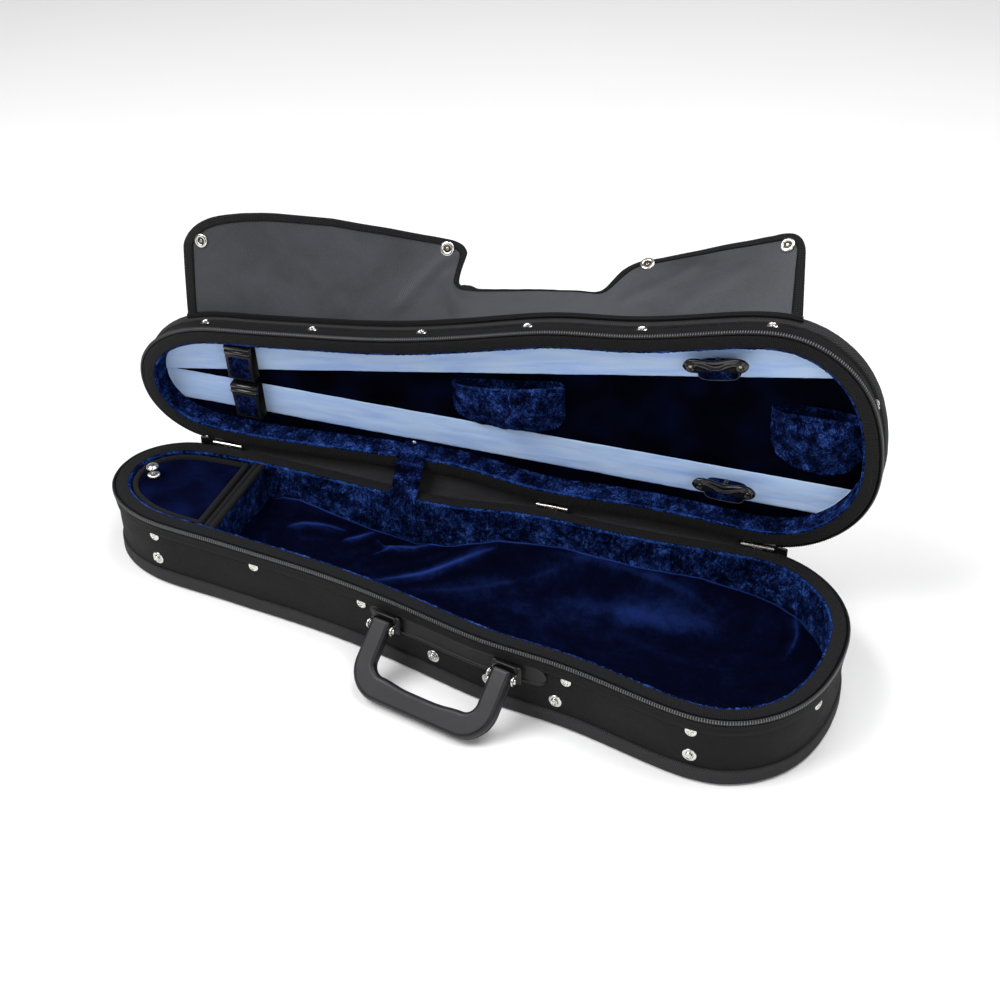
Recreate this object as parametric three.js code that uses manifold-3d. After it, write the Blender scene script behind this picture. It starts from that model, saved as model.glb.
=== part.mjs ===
// Shaped violin case with its lid open: a shallow padded tray whose outline follows the instrument, a zipped lid on three
// knuckle hinges, a small-parts compartment at the neck end, and bow holders, ribbons and pouches inside the lid.
// Units are mm. +X runs from the neck end to the body end, the hinge side is at +Y, the handle at -Y, +Z is up and the case
// stands on z = 0. Everything on the lid is drawn on the closed lid and then turned back about the hinge line.
import * as THREE from "three";
import { mergeVertices } from "three/addons/utils/BufferGeometryUtils.js";
import Module from "manifold-3d";

const wasm = await Module();
wasm.setup();

// ---- driving dimensions -------------------------------------------------------------------------------------------
const RIM_Z = 82; // plane in which the closed base and lid meet
const HINGE_Y = 132; // hinge line, at z = RIM_Z
const OPEN_DEG = 84.5; // how far the lid stands open
const LID_TOP = 117; // top of the closed lid
const BOARD = 8.3; // thickness of the wall board
const BASE_FLOOR = 6; // top of the bottom board
const LOOP_N = 96; // points round the outline
const LINING_D = -17; // inner face of the velvet on the walls, from the outline
const RIM_D = -15; // inner edge of the rim flange
const COMP_X = -270; // straight edge of the small-parts compartment
const HINGE_X = [-308.5, 67, 284];
const HINGE_LEN = 34;
const STUD_Z = 30; // row of snap studs on the front wall
const FLAP_Z = 108.5; // seam of the rain flap on the closed lid
const HANDLE_DROOP = 46; // the handle lies out this far from hanging straight down
const HANDLE_Z = 54;

// Outline of the case where the zip runs, clockwise from the neck end.
const OUTLINE = [[-395.5,35.2],[-400.4,60.8],[-395.3,86.2],[-380.2,107.2],[-358.3,121.4],[-333.7,128.0],[-308.1,129.6],[-282.7,130.1],[-257.3,129.9],[-231.9,128.8],[-206.4,127.2],[-181.0,125.4],[-155.7,123.8],[-130.3,122.2],[-104.9,120.5],[-79.4,118.8],[-53.9,118.0],[-28.6,119.3],[-3.4,122.9],[21.8,127.0],[47.1,129.7],[72.5,130.2],[97.9,129.4],[123.3,127.8],[148.8,126.8],[174.2,126.6],[199.7,127.2],[225.1,128.2],[250.5,129.5],[276.0,130.3],[301.4,128.6],[325.8,121.5],[348.0,108.6],[367.0,91.0],[381.6,69.7],[391.0,46.0],[395.0,20.9],[394.7,-4.9],[391.3,-30.9],[384.6,-56.1],[373.6,-79.4],[357.8,-99.4],[337.2,-115.1],[313.3,-124.8],[288.0,-127.3],[262.5,-124.3],[237.6,-118.9],[213.0,-112.6],[188.3,-106.3],[163.5,-100.7],[138.4,-96.3],[113.1,-93.3],[87.8,-90.5],[62.7,-86.4],[38.0,-80.6],[13.3,-74.0],[-11.2,-67.3],[-35.9,-60.9],[-60.6,-54.9],[-85.5,-49.5],[-110.5,-44.8],[-135.6,-40.8],[-160.8,-37.4],[-186.1,-34.4],[-211.4,-31.4],[-236.6,-28.4],[-261.9,-25.6],[-287.3,-23.1],[-312.6,-19.9],[-337.3,-13.8],[-361.1,-2.7],[-381.5,13.7]];

// ---- outline ------------------------------------------------------------------------------------------------------
const outline = new THREE.CatmullRomCurve3(OUTLINE.map(([x, y]) => new THREE.Vector3(x, y, 0)), true, "centripetal");
const DENSE = 3600;
const dense = [];
{
  const pts = [];
  for (let i = 0; i < DENSE; i++) pts.push(outline.getPoint(i / DENSE));
  for (let i = 0; i < DENSE; i++) {
    const a = pts[(i + DENSE - 12) % DENSE], b = pts[(i + 12) % DENSE];
    const tx = b.x - a.x, ty = b.y - a.y, l = Math.hypot(tx, ty);
    dense.push({ x: pts[i].x, y: pts[i].y, nx: -ty / l, ny: tx / l });
  }
}
const turn = (i) => {
  const a = dense[(i + DENSE - 15) % DENSE], b = dense[(i + 15) % DENSE];
  return Math.abs(Math.atan2(a.nx * b.ny - a.ny * b.nx, a.nx * b.nx + a.ny * b.ny));
};
const weight = dense.map((_, i) => 0.02 + Math.sqrt(turn(i)) * 0.13);
// Dense indices from a to b, spaced closer where the outline bends.
function samples(a, b, n) {
  const cum = [0];
  for (let i = a; i < b; i++) cum.push(cum[cum.length - 1] + weight[((i % DENSE) + DENSE) % DENSE]);
  const out = [];
  let k = 0;
  for (let j = 0; j <= n; j++) {
    const want = (cum[cum.length - 1] * j) / n;
    while (k < cum.length - 1 && cum[k] < want) k++;
    out.push((((a + k) % DENSE) + DENSE) % DENSE);
  }
  return out;
}
const RING = samples(0, DENSE, LOOP_N).slice(0, LOOP_N);
const at = (i, d) => [dense[i].x + dense[i].nx * d, dense[i].y + dense[i].ny * d];
const loop = (d) => RING.map((i) => at(i, d));
const nearest = (x, y) => {
  let best = 0, bd = 1e18;
  dense.forEach((p, i) => { const q = (p.x - x) ** 2 + (p.y - y) ** 2; if (q < bd) { bd = q; best = i; } });
  return best;
};
const frontIndex = (x) => {
  let best = 0, bd = 1e18;
  dense.forEach((p, i) => { if (p.ny < -0.2 && Math.abs(p.x - x) < bd) { bd = Math.abs(p.x - x); best = i; } });
  return best;
};
const backIndex = (x) => {
  let best = 0, bd = 1e18;
  dense.forEach((p, i) => { if (p.ny > 0.3 && Math.abs(p.x - x) < bd) { bd = Math.abs(p.x - x); best = i; } });
  return best;
};

// ---- solids -------------------------------------------------------------------------------------------------------
function solid(pos, tri) {
  let v = 0;
  for (const [a, b, c] of tri) {
    const [x1, y1, z1] = pos[a], [x2, y2, z2] = pos[b], [x3, y3, z3] = pos[c];
    v += x1 * (y2 * z3 - y3 * z2) - y1 * (x2 * z3 - x3 * z2) + z1 * (x2 * y3 - x3 * y2);
  }
  const g = new THREE.BufferGeometry();
  g.setAttribute("position", new THREE.Float32BufferAttribute(pos.flat(), 3));
  g.setIndex(tri.flatMap(([a, b, c]) => (v < 0 ? [a, c, b] : [a, b, c])));
  return g;
}
const flatTri = (poly) => THREE.ShapeUtils.triangulateShape(poly.map(([x, y]) => new THREE.Vector2(x, y)), []);
// Adds cap triangles, each turned so that it runs against the wall it closes.
function capEnds(tri, cap, offsets) {
  const seen = new Set(tri.flatMap(([a, b, c]) => [`${a},${b}`, `${b},${c}`, `${c},${a}`]));
  for (const off of offsets) {
    const flip = cap.some(([a, b, c]) => [[a, b], [b, c], [c, a]].some(([p, q]) => seen.has(`${p + off},${q + off}`)));
    for (const [a, b, c] of cap) tri.push(flip ? [a + off, c + off, b + off] : [a + off, b + off, c + off]);
  }
}
// Sections are lists of points, one closed section per step; joined in a ring or closed by end caps.
function loft(sections, ring, caps) {
  const m = sections[0].length, n = sections.length, pos = sections.flat(), tri = [];
  for (let i = 0; i < (ring ? n : n - 1); i++)
    for (let j = 0; j < m; j++) {
      const a = i * m + j, b = i * m + ((j + 1) % m), c = ((i + 1) % n) * m + j, d = ((i + 1) % n) * m + ((j + 1) % m);
      tri.push([a, c, b], [b, c, d]);
    }
  if (!ring) capEnds(tri, caps, [0, (n - 1) * m]);
  return solid(pos, tri);
}
// A profile of (offset, height) points carried all the way round the outline.
const band = (profile) => loft(RING.map((i) => profile.map(([d, z]) => [...at(i, d), z])), true);
// The same along part of the outline, closed at both ends.
function strip(profile, from, to, n) {
  const b = to < from ? to + DENSE : to;
  return loft(samples(from, b, n).map((i) => profile.map(([d, z]) => [...at(i, d), z])), false, flatTri(profile));
}
// A stack of outline loops closed by a flat cap at each end: a tray.
function tray(profile) {
  const pos = [], tri = [], m = RING.length;
  profile.forEach(([d, z]) => RING.forEach((i) => pos.push([...at(i, d), z])));
  for (let k = 0; k < profile.length - 1; k++)
    for (let j = 0; j < m; j++) {
      const a = k * m + j, b = k * m + ((j + 1) % m), c = a + m, d = b + m;
      tri.push([a, b, c], [b, d, c]);
    }
  const first = flatTri(loop(profile[0][0])), last = flatTri(loop(profile[profile.length - 1][0]));
  const o = (profile.length - 1) * m;
  capEnds(tri, first, [0]);
  capEnds(tri, last, [o]);
  return solid(pos, tri);
}
function prism(poly, z0, z1, holes = []) {
  const s = new THREE.Shape(poly.map(([x, y]) => new THREE.Vector2(x, y)));
  for (const h of holes) s.holes.push(new THREE.Path(h.map(([x, y]) => new THREE.Vector2(x, y))));
  return new THREE.ExtrudeGeometry(s, { depth: z1 - z0, bevelEnabled: false, curveSegments: 8 }).translate(0, 0, z0);
}
// Keeps the part of a polygon where a*x + b*y <= c.
function clip(poly, a, b, c) {
  const out = [];
  poly.forEach((p, i) => {
    const q = poly[(i + 1) % poly.length], dp = a * p[0] + b * p[1] - c, dq = a * q[0] + b * q[1] - c;
    if (dp <= 0) out.push(p);
    if (dp < 0 !== dq < 0) { const t = dp / (dp - dq); out.push([p[0] + (q[0] - p[0]) * t, p[1] + (q[1] - p[1]) * t]); }
  });
  return out.filter((p, i) => { const q = out[(i + 1) % out.length]; return Math.hypot(p[0] - q[0], p[1] - q[1]) > 0.05; });
}
const box = (x0, y0, z0, x1, y1, z1) =>
  new THREE.BoxGeometry(x1 - x0, y1 - y0, z1 - z0).translate((x0 + x1) / 2, (y0 + y1) / 2, (z0 + z1) / 2);
const rounded = (cx, cy, lx, ly, r) => {
  const pts = [];
  for (const [sx, sy, a0] of [[1, 1, 0], [-1, 1, 90], [-1, -1, 180], [1, -1, 270]])
    for (let k = 0; k <= 4; k++) {
      const a = ((a0 + k * 22.5) * Math.PI) / 180;
      pts.push([cx + sx * (lx / 2 - r) + r * Math.cos(a), cy + sy * (ly / 2 - r) + r * Math.sin(a)]);
    }
  return pts;
};
function manifoldOf(g) {
  const n = g.index ? g.toNonIndexed() : g.clone();
  const p = new THREE.BufferGeometry().setAttribute("position", n.getAttribute("position"));
  const m = mergeVertices(p, 1e-4);
  return new wasm.Manifold(new wasm.Mesh({ numProp: 3, vertProperties: m.attributes.position.array, triVerts: new Uint32Array(m.index.array) }));
}
function geometryOf(m) {
  const mesh = m.getMesh();
  const g = new THREE.BufferGeometry();
  g.setAttribute("position", new THREE.BufferAttribute(new Float32Array(mesh.vertProperties), 3));
  g.setIndex(Array.from(mesh.triVerts));
  return g;
}
const join = (...gs) => geometryOf(gs.map(manifoldOf).reduce((a, b) => a.add(b)));
const cut = (g, ...tools) => geometryOf(tools.map(manifoldOf).reduce((a, b) => a.subtract(b), manifoldOf(g)));
// Puts a solid of revolution, drawn about +Y, at a point with its axis along a direction.
function aim(g, p, dir) {
  const q = new THREE.Quaternion().setFromUnitVectors(new THREE.Vector3(0, 1, 0), new THREE.Vector3(...dir).normalize());
  return g.applyMatrix4(new THREE.Matrix4().makeRotationFromQuaternion(q)).translate(...p);
}
const rod = (p, dir, r, len, n = 20) => aim(new THREE.CylinderGeometry(r, r, len, n), p, dir);
const lathe = (profile, n = 20) => new THREE.LatheGeometry(profile.map(([r, y]) => new THREE.Vector2(r, y)), n);

// ---- the group ----------------------------------------------------------------------------------------------------
const root = new THREE.Group();
root.name = "violin_case";
const openLid = new THREE.Matrix4().makeTranslation(0, HINGE_Y, RIM_Z)
  .multiply(new THREE.Matrix4().makeRotationX((-OPEN_DEG * Math.PI) / 180))
  .multiply(new THREE.Matrix4().makeTranslation(0, -HINGE_Y, -RIM_Z));
function add(name, geometry, color, metalness = 0, roughness = 0.85) {
  const m = new THREE.Mesh(geometry, new THREE.MeshStandardMaterial({ color, metalness, roughness }));
  m.name = name;
  root.add(m);
}
const addLid = (name, g, ...rest) => add(name, g.applyMatrix4(openLid), ...rest);
const onLid = (x, y, z) => new THREE.Vector3(x, y, z).applyMatrix4(openLid).toArray();
const up = (z) => 2 * RIM_Z - z; // height on the closed lid that mirrors a height on the base

const NYLON = 0x1c1c1e, TRIM = 0x26262a, VELVET = 0x14276b, PLUSH = 0x0b1338, NICKEL = 0xc9cacc, RIBBON = 0x8fa9e3;

// ---- base tray ----------------------------------------------------------------------------------------------------
add("base_shell", tray([[-4.2, 0], [-4.2, 77.5], [-4.2 - BOARD, 77.5], [-4.2 - BOARD, BASE_FLOOR]]), NYLON);
add("base_cover", band([[-3.9, 1], [-3.9, 77.4], [-2.9, 77.4], [-2.9, 1]]), NYLON);
add("base_bottom_binding", band([[-2.6, 0.5], [-2.6, 17], [-1.3, 16.4], [-0.7, 14], [-0.7, 3], [-1.3, 0.5]]), TRIM);
const zipFrom = nearest(305, 128), zipTo = nearest(-336, 127.5);
add("base_zip_tape", strip([[-2.6, 70.8], [-2.6, 75.5], [0.6, 75.5], [0.9, 73.5], [0.2, 70.8]], zipFrom, zipTo, 78), TRIM);
add("base_zip_coil", strip([[-0.4, 75.9], [-0.4, 80.2], [1.1, 80.2], [2, 79], [2, 77], [1.1, 75.9]], zipFrom, zipTo, 78), 0x3c3d42, 0.1, 0.5);
add("base_rim_trim", band([[RIM_D, 78.2], [RIM_D, 80.9], [RIM_D + 0.8, 81.7], [-1.8, 81.7], [-0.8, 80.9], [-0.8, 77.8], [RIM_D + 0.6, 77.8]]), TRIM);
add("base_wall_lining", band([[-12.8, 6.3], [LINING_D, 6.3], [LINING_D, 79.6], [LINING_D + 0.6, 80.4], [-15.3, 80.4], [-15.3, 77.5], [-12.8, 77.5]]), VELVET);

const innerLoop = (d) => loop(d);
add("base_bed", prism(clip(innerLoop(LINING_D - 0.4), -1, 0, -(COMP_X + 14.8)), 6.3, 28), PLUSH);
add("violin_blanket", prism(clip(innerLoop(LINING_D - 3), -1, 0, -(COMP_X + 18)), 28.3, 36), PLUSH);

// ---- small-parts compartment at the neck end ------------------------------------------------------------------------
add("compartment_partition", prism(clip(clip(innerLoop(LINING_D - 0.4), 1, 0, COMP_X + 14.4), -1, 0, -(COMP_X + 4)), 6.3, 73.6), VELVET);
add("compartment_partition_trim", prism(clip(clip(innerLoop(LINING_D - 0.6), 1, 0, COMP_X + 15), -1, 0, -(COMP_X + 2.2)), 73.9, 78.8), TRIM);
const compOuter = clip(innerLoop(LINING_D - 1.6), 1, 0, COMP_X - 0.4);
const compInner = clip(innerLoop(LINING_D - 8.6), 1, 0, COMP_X - 7.6);
const compBoard = clip(innerLoop(LINING_D - 8.9), 1, 0, COMP_X - 7.9);
add("compartment_lid_board", prism(compBoard, 72.6, 77.2), PLUSH);
add("compartment_lid_binding", cut(prism(compOuter, 72, 78.6), prism(compInner, 70, 80)), TRIM);
add("compartment_knob", aim(lathe([[0, 0], [6.4, 0], [6.4, 1.2], [5.2, 2], [3, 2.6], [2.6, 7], [3.6, 8.2], [6, 9.4], [6.9, 11.6], [6.3, 14], [3.8, 15.8], [0, 16.3]], 20), [-360, 58, 77.5], [0, 0, 1]), NICKEL, 1, 0.25);

// ---- handle ---------------------------------------------------------------------------------------------------------
add("handle_mount_strip", strip([[-2.5, 42], [-2.5, 66], [-1.2, 66], [-0.3, 64.5], [-0.3, 43.5], [-1.2, 42]], frontIndex(135), frontIndex(-62), 16), 0x2c2c30, 0, 0.6);
{
  const a = dense[frontIndex(97)], b = dense[frontIndex(-39)];
  const t = new THREE.Vector3(a.x - b.x, a.y - b.y, 0).normalize(), n = new THREE.Vector3(t.y, -t.x, 0);
  const OUT = 12.5;
  const e = [b, a].map((q) => new THREE.Vector3(q.x, q.y, HANDLE_Z).addScaledVector(n, OUT));
  const mid = e[0].clone().add(e[1]).multiplyScalar(0.5), half = e[0].distanceTo(e[1]) / 2;
  const f = (HANDLE_DROOP * Math.PI) / 180;
  const down = n.clone().multiplyScalar(Math.sin(f)).add(new THREE.Vector3(0, 0, -Math.cos(f)));
  const front = new THREE.Vector3().crossVectors(t, down).normalize(); // square to the handle's plane
  // Grip, drawn flat: u along the wall, v down the legs.
  const s = new THREE.Shape();
  const w = 11, ro = 34, ri = 12, L = half, vi = 44, vo = 70;
  s.moveTo(-L - w, -5.5);
  s.lineTo(-L - w, vo - ro);
  s.absarc(-L - w + ro, vo - ro, ro, Math.PI, Math.PI / 2, true);
  s.lineTo(L + w - ro, vo);
  s.absarc(L + w - ro, vo - ro, ro, Math.PI / 2, 0, true);
  s.lineTo(L + w, -5.5);
  s.lineTo(L - w, -5.5);
  s.lineTo(L - w, vi - ri);
  s.absarc(L - w - ri, vi - ri, ri, 0, Math.PI / 2, false);
  s.lineTo(-L + w + ri, vi);
  s.absarc(-L + w + ri, vi - ri, ri, Math.PI / 2, Math.PI, false);
  s.lineTo(-L + w, -5.5);
  s.closePath();
  let g = new THREE.ExtrudeGeometry(s, { depth: 9, bevelEnabled: true, bevelThickness: 2.4, bevelSize: 2.2, bevelOffset: -2.2, bevelSegments: 2, curveSegments: 8 }).translate(0, 0, -4.5);
  g = cut(g, rod([0, 0, 0], [1, 0, 0], 2.02, 4 * L, 20));
  const m = new THREE.Matrix4().makeBasis(t, down, front).setPosition(mid);
  add("handle_grip", g.applyMatrix4(m), 0x3a3a3e, 0, 0.55);
  // Brackets: a plate on the strip, two ears and the pin through the handle's leg.
  const flat = new THREE.Matrix4().makeBasis(t, new THREE.Vector3(0, 0, 1), new THREE.Vector3().crossVectors(t, new THREE.Vector3(0, 0, 1)).normalize());
  ["left", "right"].forEach((side, k) => {
    const plate = box(-17, -9, -OUT + 2, 17, 9, -OUT + 3.5), ear = (x) => box(x - 1.3, -5, -OUT + 2.3, x + 1.3, 5, 4);
    const pin = rod([0, 0, 0], [1, 0, 0], 1.9, 33.4, 20);
    const b2 = join(join(plate, ear(-14), ear(14)), pin);
    add(`handle_bracket_${side}`, b2.applyMatrix4(flat.clone().setPosition(e[k])), 0xb9babd, 1, 0.3);
  });
}

// ---- snap studs on the front wall -------------------------------------------------------------------------------------
const studProfile = [[0, 0], [7, 0], [7, 0.9], [6.2, 1.6], [3.6, 1.9], [3.2, 2.4], [3.6, 3.6], [2.9, 4.4], [0, 4.6]];
const studX = [-322, -56, 11, 74, 144, 282];
studX.forEach((x, k) => {
  const i = frontIndex(x), [px, py] = at(i, -2.6);
  add(`snap_stud_${k + 1}`, aim(lathe(studProfile, 14), [px, py, STUD_Z], [dense[i].nx, dense[i].ny, 0]), NICKEL, 1, 0.3);
});

// ---- lid ----------------------------------------------------------------------------------------------------------------
addLid("lid_shell", tray([[-4.2, LID_TOP], [-4.2, up(77.5)], [-4.2 - BOARD, up(77.5)], [-4.2 - BOARD, LID_TOP - 5.5]]), NYLON);
addLid("lid_cover", band([[-3.9, up(77.4)], [-3.9, LID_TOP - 1], [-2.9, LID_TOP - 1], [-2.9, up(77.4)]]), NYLON);
addLid("lid_top_binding", band([[-2.6, 104], [-2.6, LID_TOP - 0.4], [0.4, LID_TOP - 0.4], [1.3, LID_TOP - 2], [1.3, 106], [0.6, 104]]), TRIM);
addLid("lid_zip_tape", strip([[-2.6, up(70.8)], [-2.6, up(75.5)], [0.6, up(75.5)], [0.9, up(73.5)], [0.2, up(70.8)]], zipFrom, zipTo, 78), TRIM);
addLid("lid_zip_coil", strip([[-0.4, up(75.9)], [-0.4, up(80.2)], [1.1, up(80.2)], [2, up(79)], [2, up(77)], [1.1, up(75.9)]], zipFrom, zipTo, 78), 0x3c3d42, 0.1, 0.5);
addLid("lid_rim_trim", band([[RIM_D, up(78.2)], [RIM_D, up(80.9)], [RIM_D + 0.8, up(81.7)], [-1.8, up(81.7)], [-0.8, up(80.9)], [-0.8, up(77.8)], [RIM_D + 0.6, up(77.8)]]), TRIM);
addLid("lid_wall_lining", band([[-12.8, LID_TOP - 5.8], [LINING_D, LID_TOP - 5.8], [LINING_D, up(79.6)], [LINING_D + 0.6, up(80.4)], [-15.3, up(80.4)], [-15.3, up(77.5)], [-12.8, up(77.5)]]), VELVET);
addLid("lid_panel_pad", prism(innerLoop(LINING_D - 0.4), 107.4, LID_TOP - 5.8), PLUSH);

// Two satin ribbons in a V, one behind each bow.
const field = innerLoop(LINING_D - 1.2);
const UP_DIR = [Math.cos(-0.1808), Math.sin(-0.1808)], UP_N = [-UP_DIR[1], UP_DIR[0]]; // along and across the slanting ribbon
const upC = UP_N[0] * -378 + UP_N[1] * 58;
addLid("bow_ribbon_back", prism(clip(clip(field, 0, 1, 95.5), 0, -1, -57.5), 106.3, 107.1), RIBBON, 0, 0.4);
addLid("bow_ribbon_front", prism(clip(clip(field, UP_N[0], UP_N[1], upC), -UP_N[0], -UP_N[1], -(upC - 38)), 105.2, 106), RIBBON, 0, 0.4);

// Pockets for the bow tips: a padded block, open towards the body end, with a moulded clip bar on its front edge.
function tipHolder(name, x0, y0, x1, y1, z0, z1) {
  const b = cut(box(x0, y0, z0, x1, y1, z1), box(x0 + 5, y0 + 6, z0 + 3.4, x1 + 5, y1 - 6, z1 - 1.6));
  addLid(name, b, 0x16276a);
}
tipHolder("bow_tip_pocket_front", -297.5, 9, -266.5, 46, 92, 104.9);
tipHolder("bow_tip_pocket_back", -298, 60, -266, 96.5, 92, 106);
addLid("bow_tip_clip_front", box(-297.5, 2.6, 92.6, -267.5, 8.7, 104.4), 0x101012, 0.2, 0.3);
addLid("bow_tip_clip_back", box(-298, 53.4, 92.6, -267, 59.7, 105.6), 0x101012, 0.2, 0.3);

// Turn buttons that hold the bow sticks, each over a padded cradle.
function spinner(tag, cx, cy, deg, zPad) {
  const c = Math.cos((deg * Math.PI) / 180), s = Math.sin((deg * Math.PI) / 180);
  const place = (g) => g.applyMatrix4(new THREE.Matrix4().set(c, -s, 0, cx, s, c, 0, cy, 0, 0, 1, 0, 0, 0, 0, 1));
  addLid(`bow_cradle_${tag}`, place(join(prism(rounded(0, 4, 44, 26, 6), zPad - 3.4, zPad), prism(rounded(0, 13, 40, 9, 3), 94, zPad - 3))), 0x16276a);
  const prof = [];
  for (let k = 0; k <= 24; k++) {
    const x = -32 + (64 * k) / 24, e = Math.abs(x) / 32;
    const h = 4.6 + 3 * Math.pow(Math.sin(Math.min(1, e) * Math.PI * 0.78), 2);
    prof.push([x, e > 0.78 ? h * Math.sqrt(Math.max(0.02, 1 - ((e - 0.78) / 0.22) ** 2)) : h]);
  }
  const poly = [...prof.map(([x, h]) => [x, -h]), ...prof.slice().reverse().map(([x, h]) => [x, h])];
  addLid(`bow_spinner_${tag}`, place(join(prism(poly, 86.5, 93), rod([0, 0, 96.7 - 1], [0, 0, 1], 3.2, 2 * (zPad - 3.7 - 95.7), 16))), 0x101012, 0.1, 0.25);
}
spinner("front", 232, -77, -10.4, 104.9);
spinner("back", 245, 71.5, 1, 106);

// Two gathered pouches on the lid panel, open towards the front.
function pouch(name, pts, depth) {
  const outer = pts, c = pts.reduce((a, p) => [a[0] + p[0] / pts.length, a[1] + p[1] / pts.length], [0, 0]);
  const inner = pts.map(([x, y]) => [c[0] + (x - c[0]) * 0.9, c[1] + (y - c[1]) * 0.86]);
  const top = Math.min(...pts.map((p) => p[1]));
  const mouth = box(c[0] - 0.36 * (Math.max(...pts.map((p) => p[0])) - Math.min(...pts.map((p) => p[0]))), top - 6, 107 - depth + 3, c[0] + 0.36 * (Math.max(...pts.map((p) => p[0])) - Math.min(...pts.map((p) => p[0]))), top + 14, 105.4);
  addLid(name, cut(prism(outer, 107 - depth, 107.1), join(prism(inner, 107 - depth + 3, 105.4), mouth)), VELVET);
}
pouch("lid_pouch_middle", [[-44, 6], [-20, 2], [40, -7], [72, -12.6], [77, -8], [77, 30], [70, 44], [50, 52], [16, 56], [-20, 55], [-38, 50], [-45, 40]], 15);
pouch("lid_pouch_end", [[284, -30], [322, -34], [358, -33], [369, -26], [370, 18], [361, 34], [338, 43], [310, 38], [292, 28], [285, 12]], 15);

// ---- hinges ---------------------------------------------------------------------------------------------------------------
HINGE_X.forEach((cx, k) => {
  const n = k + 1, h = HINGE_LEN / 2, seg = HINGE_LEN / 3;
  const leaf = (x0, x1, z) => {
    const s = new THREE.Shape([[128, 62], [129.2, 62], [129.2, 76], [131.5, 77.4], [131.5, z], [130.2, z], [130.2, 77.9], [128, 76.6]].map(([y, q]) => new THREE.Vector2(y, q)));
    const g = new THREE.ExtrudeGeometry(s, { depth: x1 - x0, bevelEnabled: false });
    // extruded along +Z of the drawing: turn so that drawing (y, z, depth) becomes (x, y, z) = (depth, y, z)
    return g.applyMatrix4(new THREE.Matrix4().set(0, 0, 1, x0, 1, 0, 0, 0, 0, 1, 0, 0, 0, 0, 0, 1));
  };
  const knuckle = (x0, x1) => rod([(x0 + x1) / 2, HINGE_Y, RIM_Z], [1, 0, 0], 2.1, x1 - x0, 20);
  const bore = (x0, x1, r) => rod([(x0 + x1) / 2, HINGE_Y, RIM_Z], [1, 0, 0], r, x1 - x0, 20);
  const a = [cx - h, cx - h + seg - 0.2], b = [cx + h - seg + 0.2, cx + h], c = [cx - h + seg + 0.2, cx + h - seg - 0.2];
  const base = join(leaf(cx - h, cx + h, 79), leaf(...a, 81.4), leaf(...b, 81.4), knuckle(...a), knuckle(...b), bore(cx - h + 1, cx + h - 1, 0.9));
  add(`hinge_${n}_base`, base, NICKEL, 1, 0.3);
  const mirror = (g) => { // reflected in the rim plane, with its faces turned back outwards
    const q = mergeVertices(new THREE.BufferGeometry().setAttribute("position", (g.index ? g.toNonIndexed() : g).getAttribute("position")), 1e-4);
    const p = q.attributes.position;
    for (let i = 0; i < p.count; i++) p.setZ(i, 2 * RIM_Z - p.getZ(i));
    const id = q.index.array;
    for (let i = 0; i < id.length; i += 3) [id[i + 1], id[i + 2]] = [id[i + 2], id[i + 1]];
    return q;
  };
  const lid = cut(join(mirror(join(leaf(cx - h, cx + h, 79), leaf(...c, 81.4))), knuckle(...c)), bore(c[0] - 2, c[1] + 2, 1.0));
  addLid(`hinge_${n}_lid`, lid, NICKEL, 1, 0.3);
});

// ---- stay strap and back gusset ---------------------------------------------------------------------------------------------
// A ribbon of constant width whose path is given in the YZ plane.
function ribbon(path, x0, x1, thick) {
  const c = new THREE.CatmullRomCurve3(path.map(([y, z]) => new THREE.Vector3(y, z, 0)), false, "centripetal");
  const n = 22, left = [], right = [];
  for (let i = 0; i <= n; i++) {
    const p = c.getPointAt(i / n), t = c.getTangentAt(i / n);
    left.push([p.x - (t.y * thick) / 2, p.y + (t.x * thick) / 2]);
    right.push([p.x + (t.y * thick) / 2, p.y - (t.x * thick) / 2]);
  }
  const g = prism([...left, ...right.reverse()], x0, x1);
  return g.applyMatrix4(new THREE.Matrix4().set(0, 0, 1, 0, 1, 0, 0, 0, 0, 1, 0, 0, 0, 0, 0, 1));
}
add("lid_stay_strap", ribbon([[152, 116.4], [142, 115.3], [133, 114.6], [127, 111.8], [117, 98], [107.6, 87], [101.6, 83.6], [100.2, 78], [100, 66], [100, 38.5]], -103, -73, 1.5), VELVET);
{
  // The fabric joint between the back walls, from one end of the zip to the other.
  const rows = [];
  const n = 30, x0 = -331, x1 = 302;
  for (let k = 0; k <= n; k++) {
    const x = x0 + ((x1 - x0) * k) / n, y = dense[backIndex(x)].y + 2.4;
    const inn = [[y, 56], [y, 75]], out = [[y + 1.1, 56], [y + 1.1, 74.6]];
    const l1 = onLid(x, y, up(75)), l2 = onLid(x, y, up(60)), m1 = onLid(x, y + 1.1, up(74.6)), m2 = onLid(x, y + 1.1, up(60));
    const mx = (y + l1[1]) / 2 + 1.6, mz = (75 + l1[2]) / 2 - 1.6;
    inn.push([mx, mz], [l1[1], l1[2]], [l2[1], l2[2]]);
    out.push([mx + 0.8, mz - 0.8], [m1[1], m1[2]], [m2[1], m2[2]]);
    rows.push([...inn, ...out.reverse()].map(([yy, zz]) => [x, yy, zz]));
  }
  const caps = flatTri(rows[0].map(([, y, z]) => [y, z]));
  add("back_gusset", loft(rows, false, caps), NYLON);
}

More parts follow.
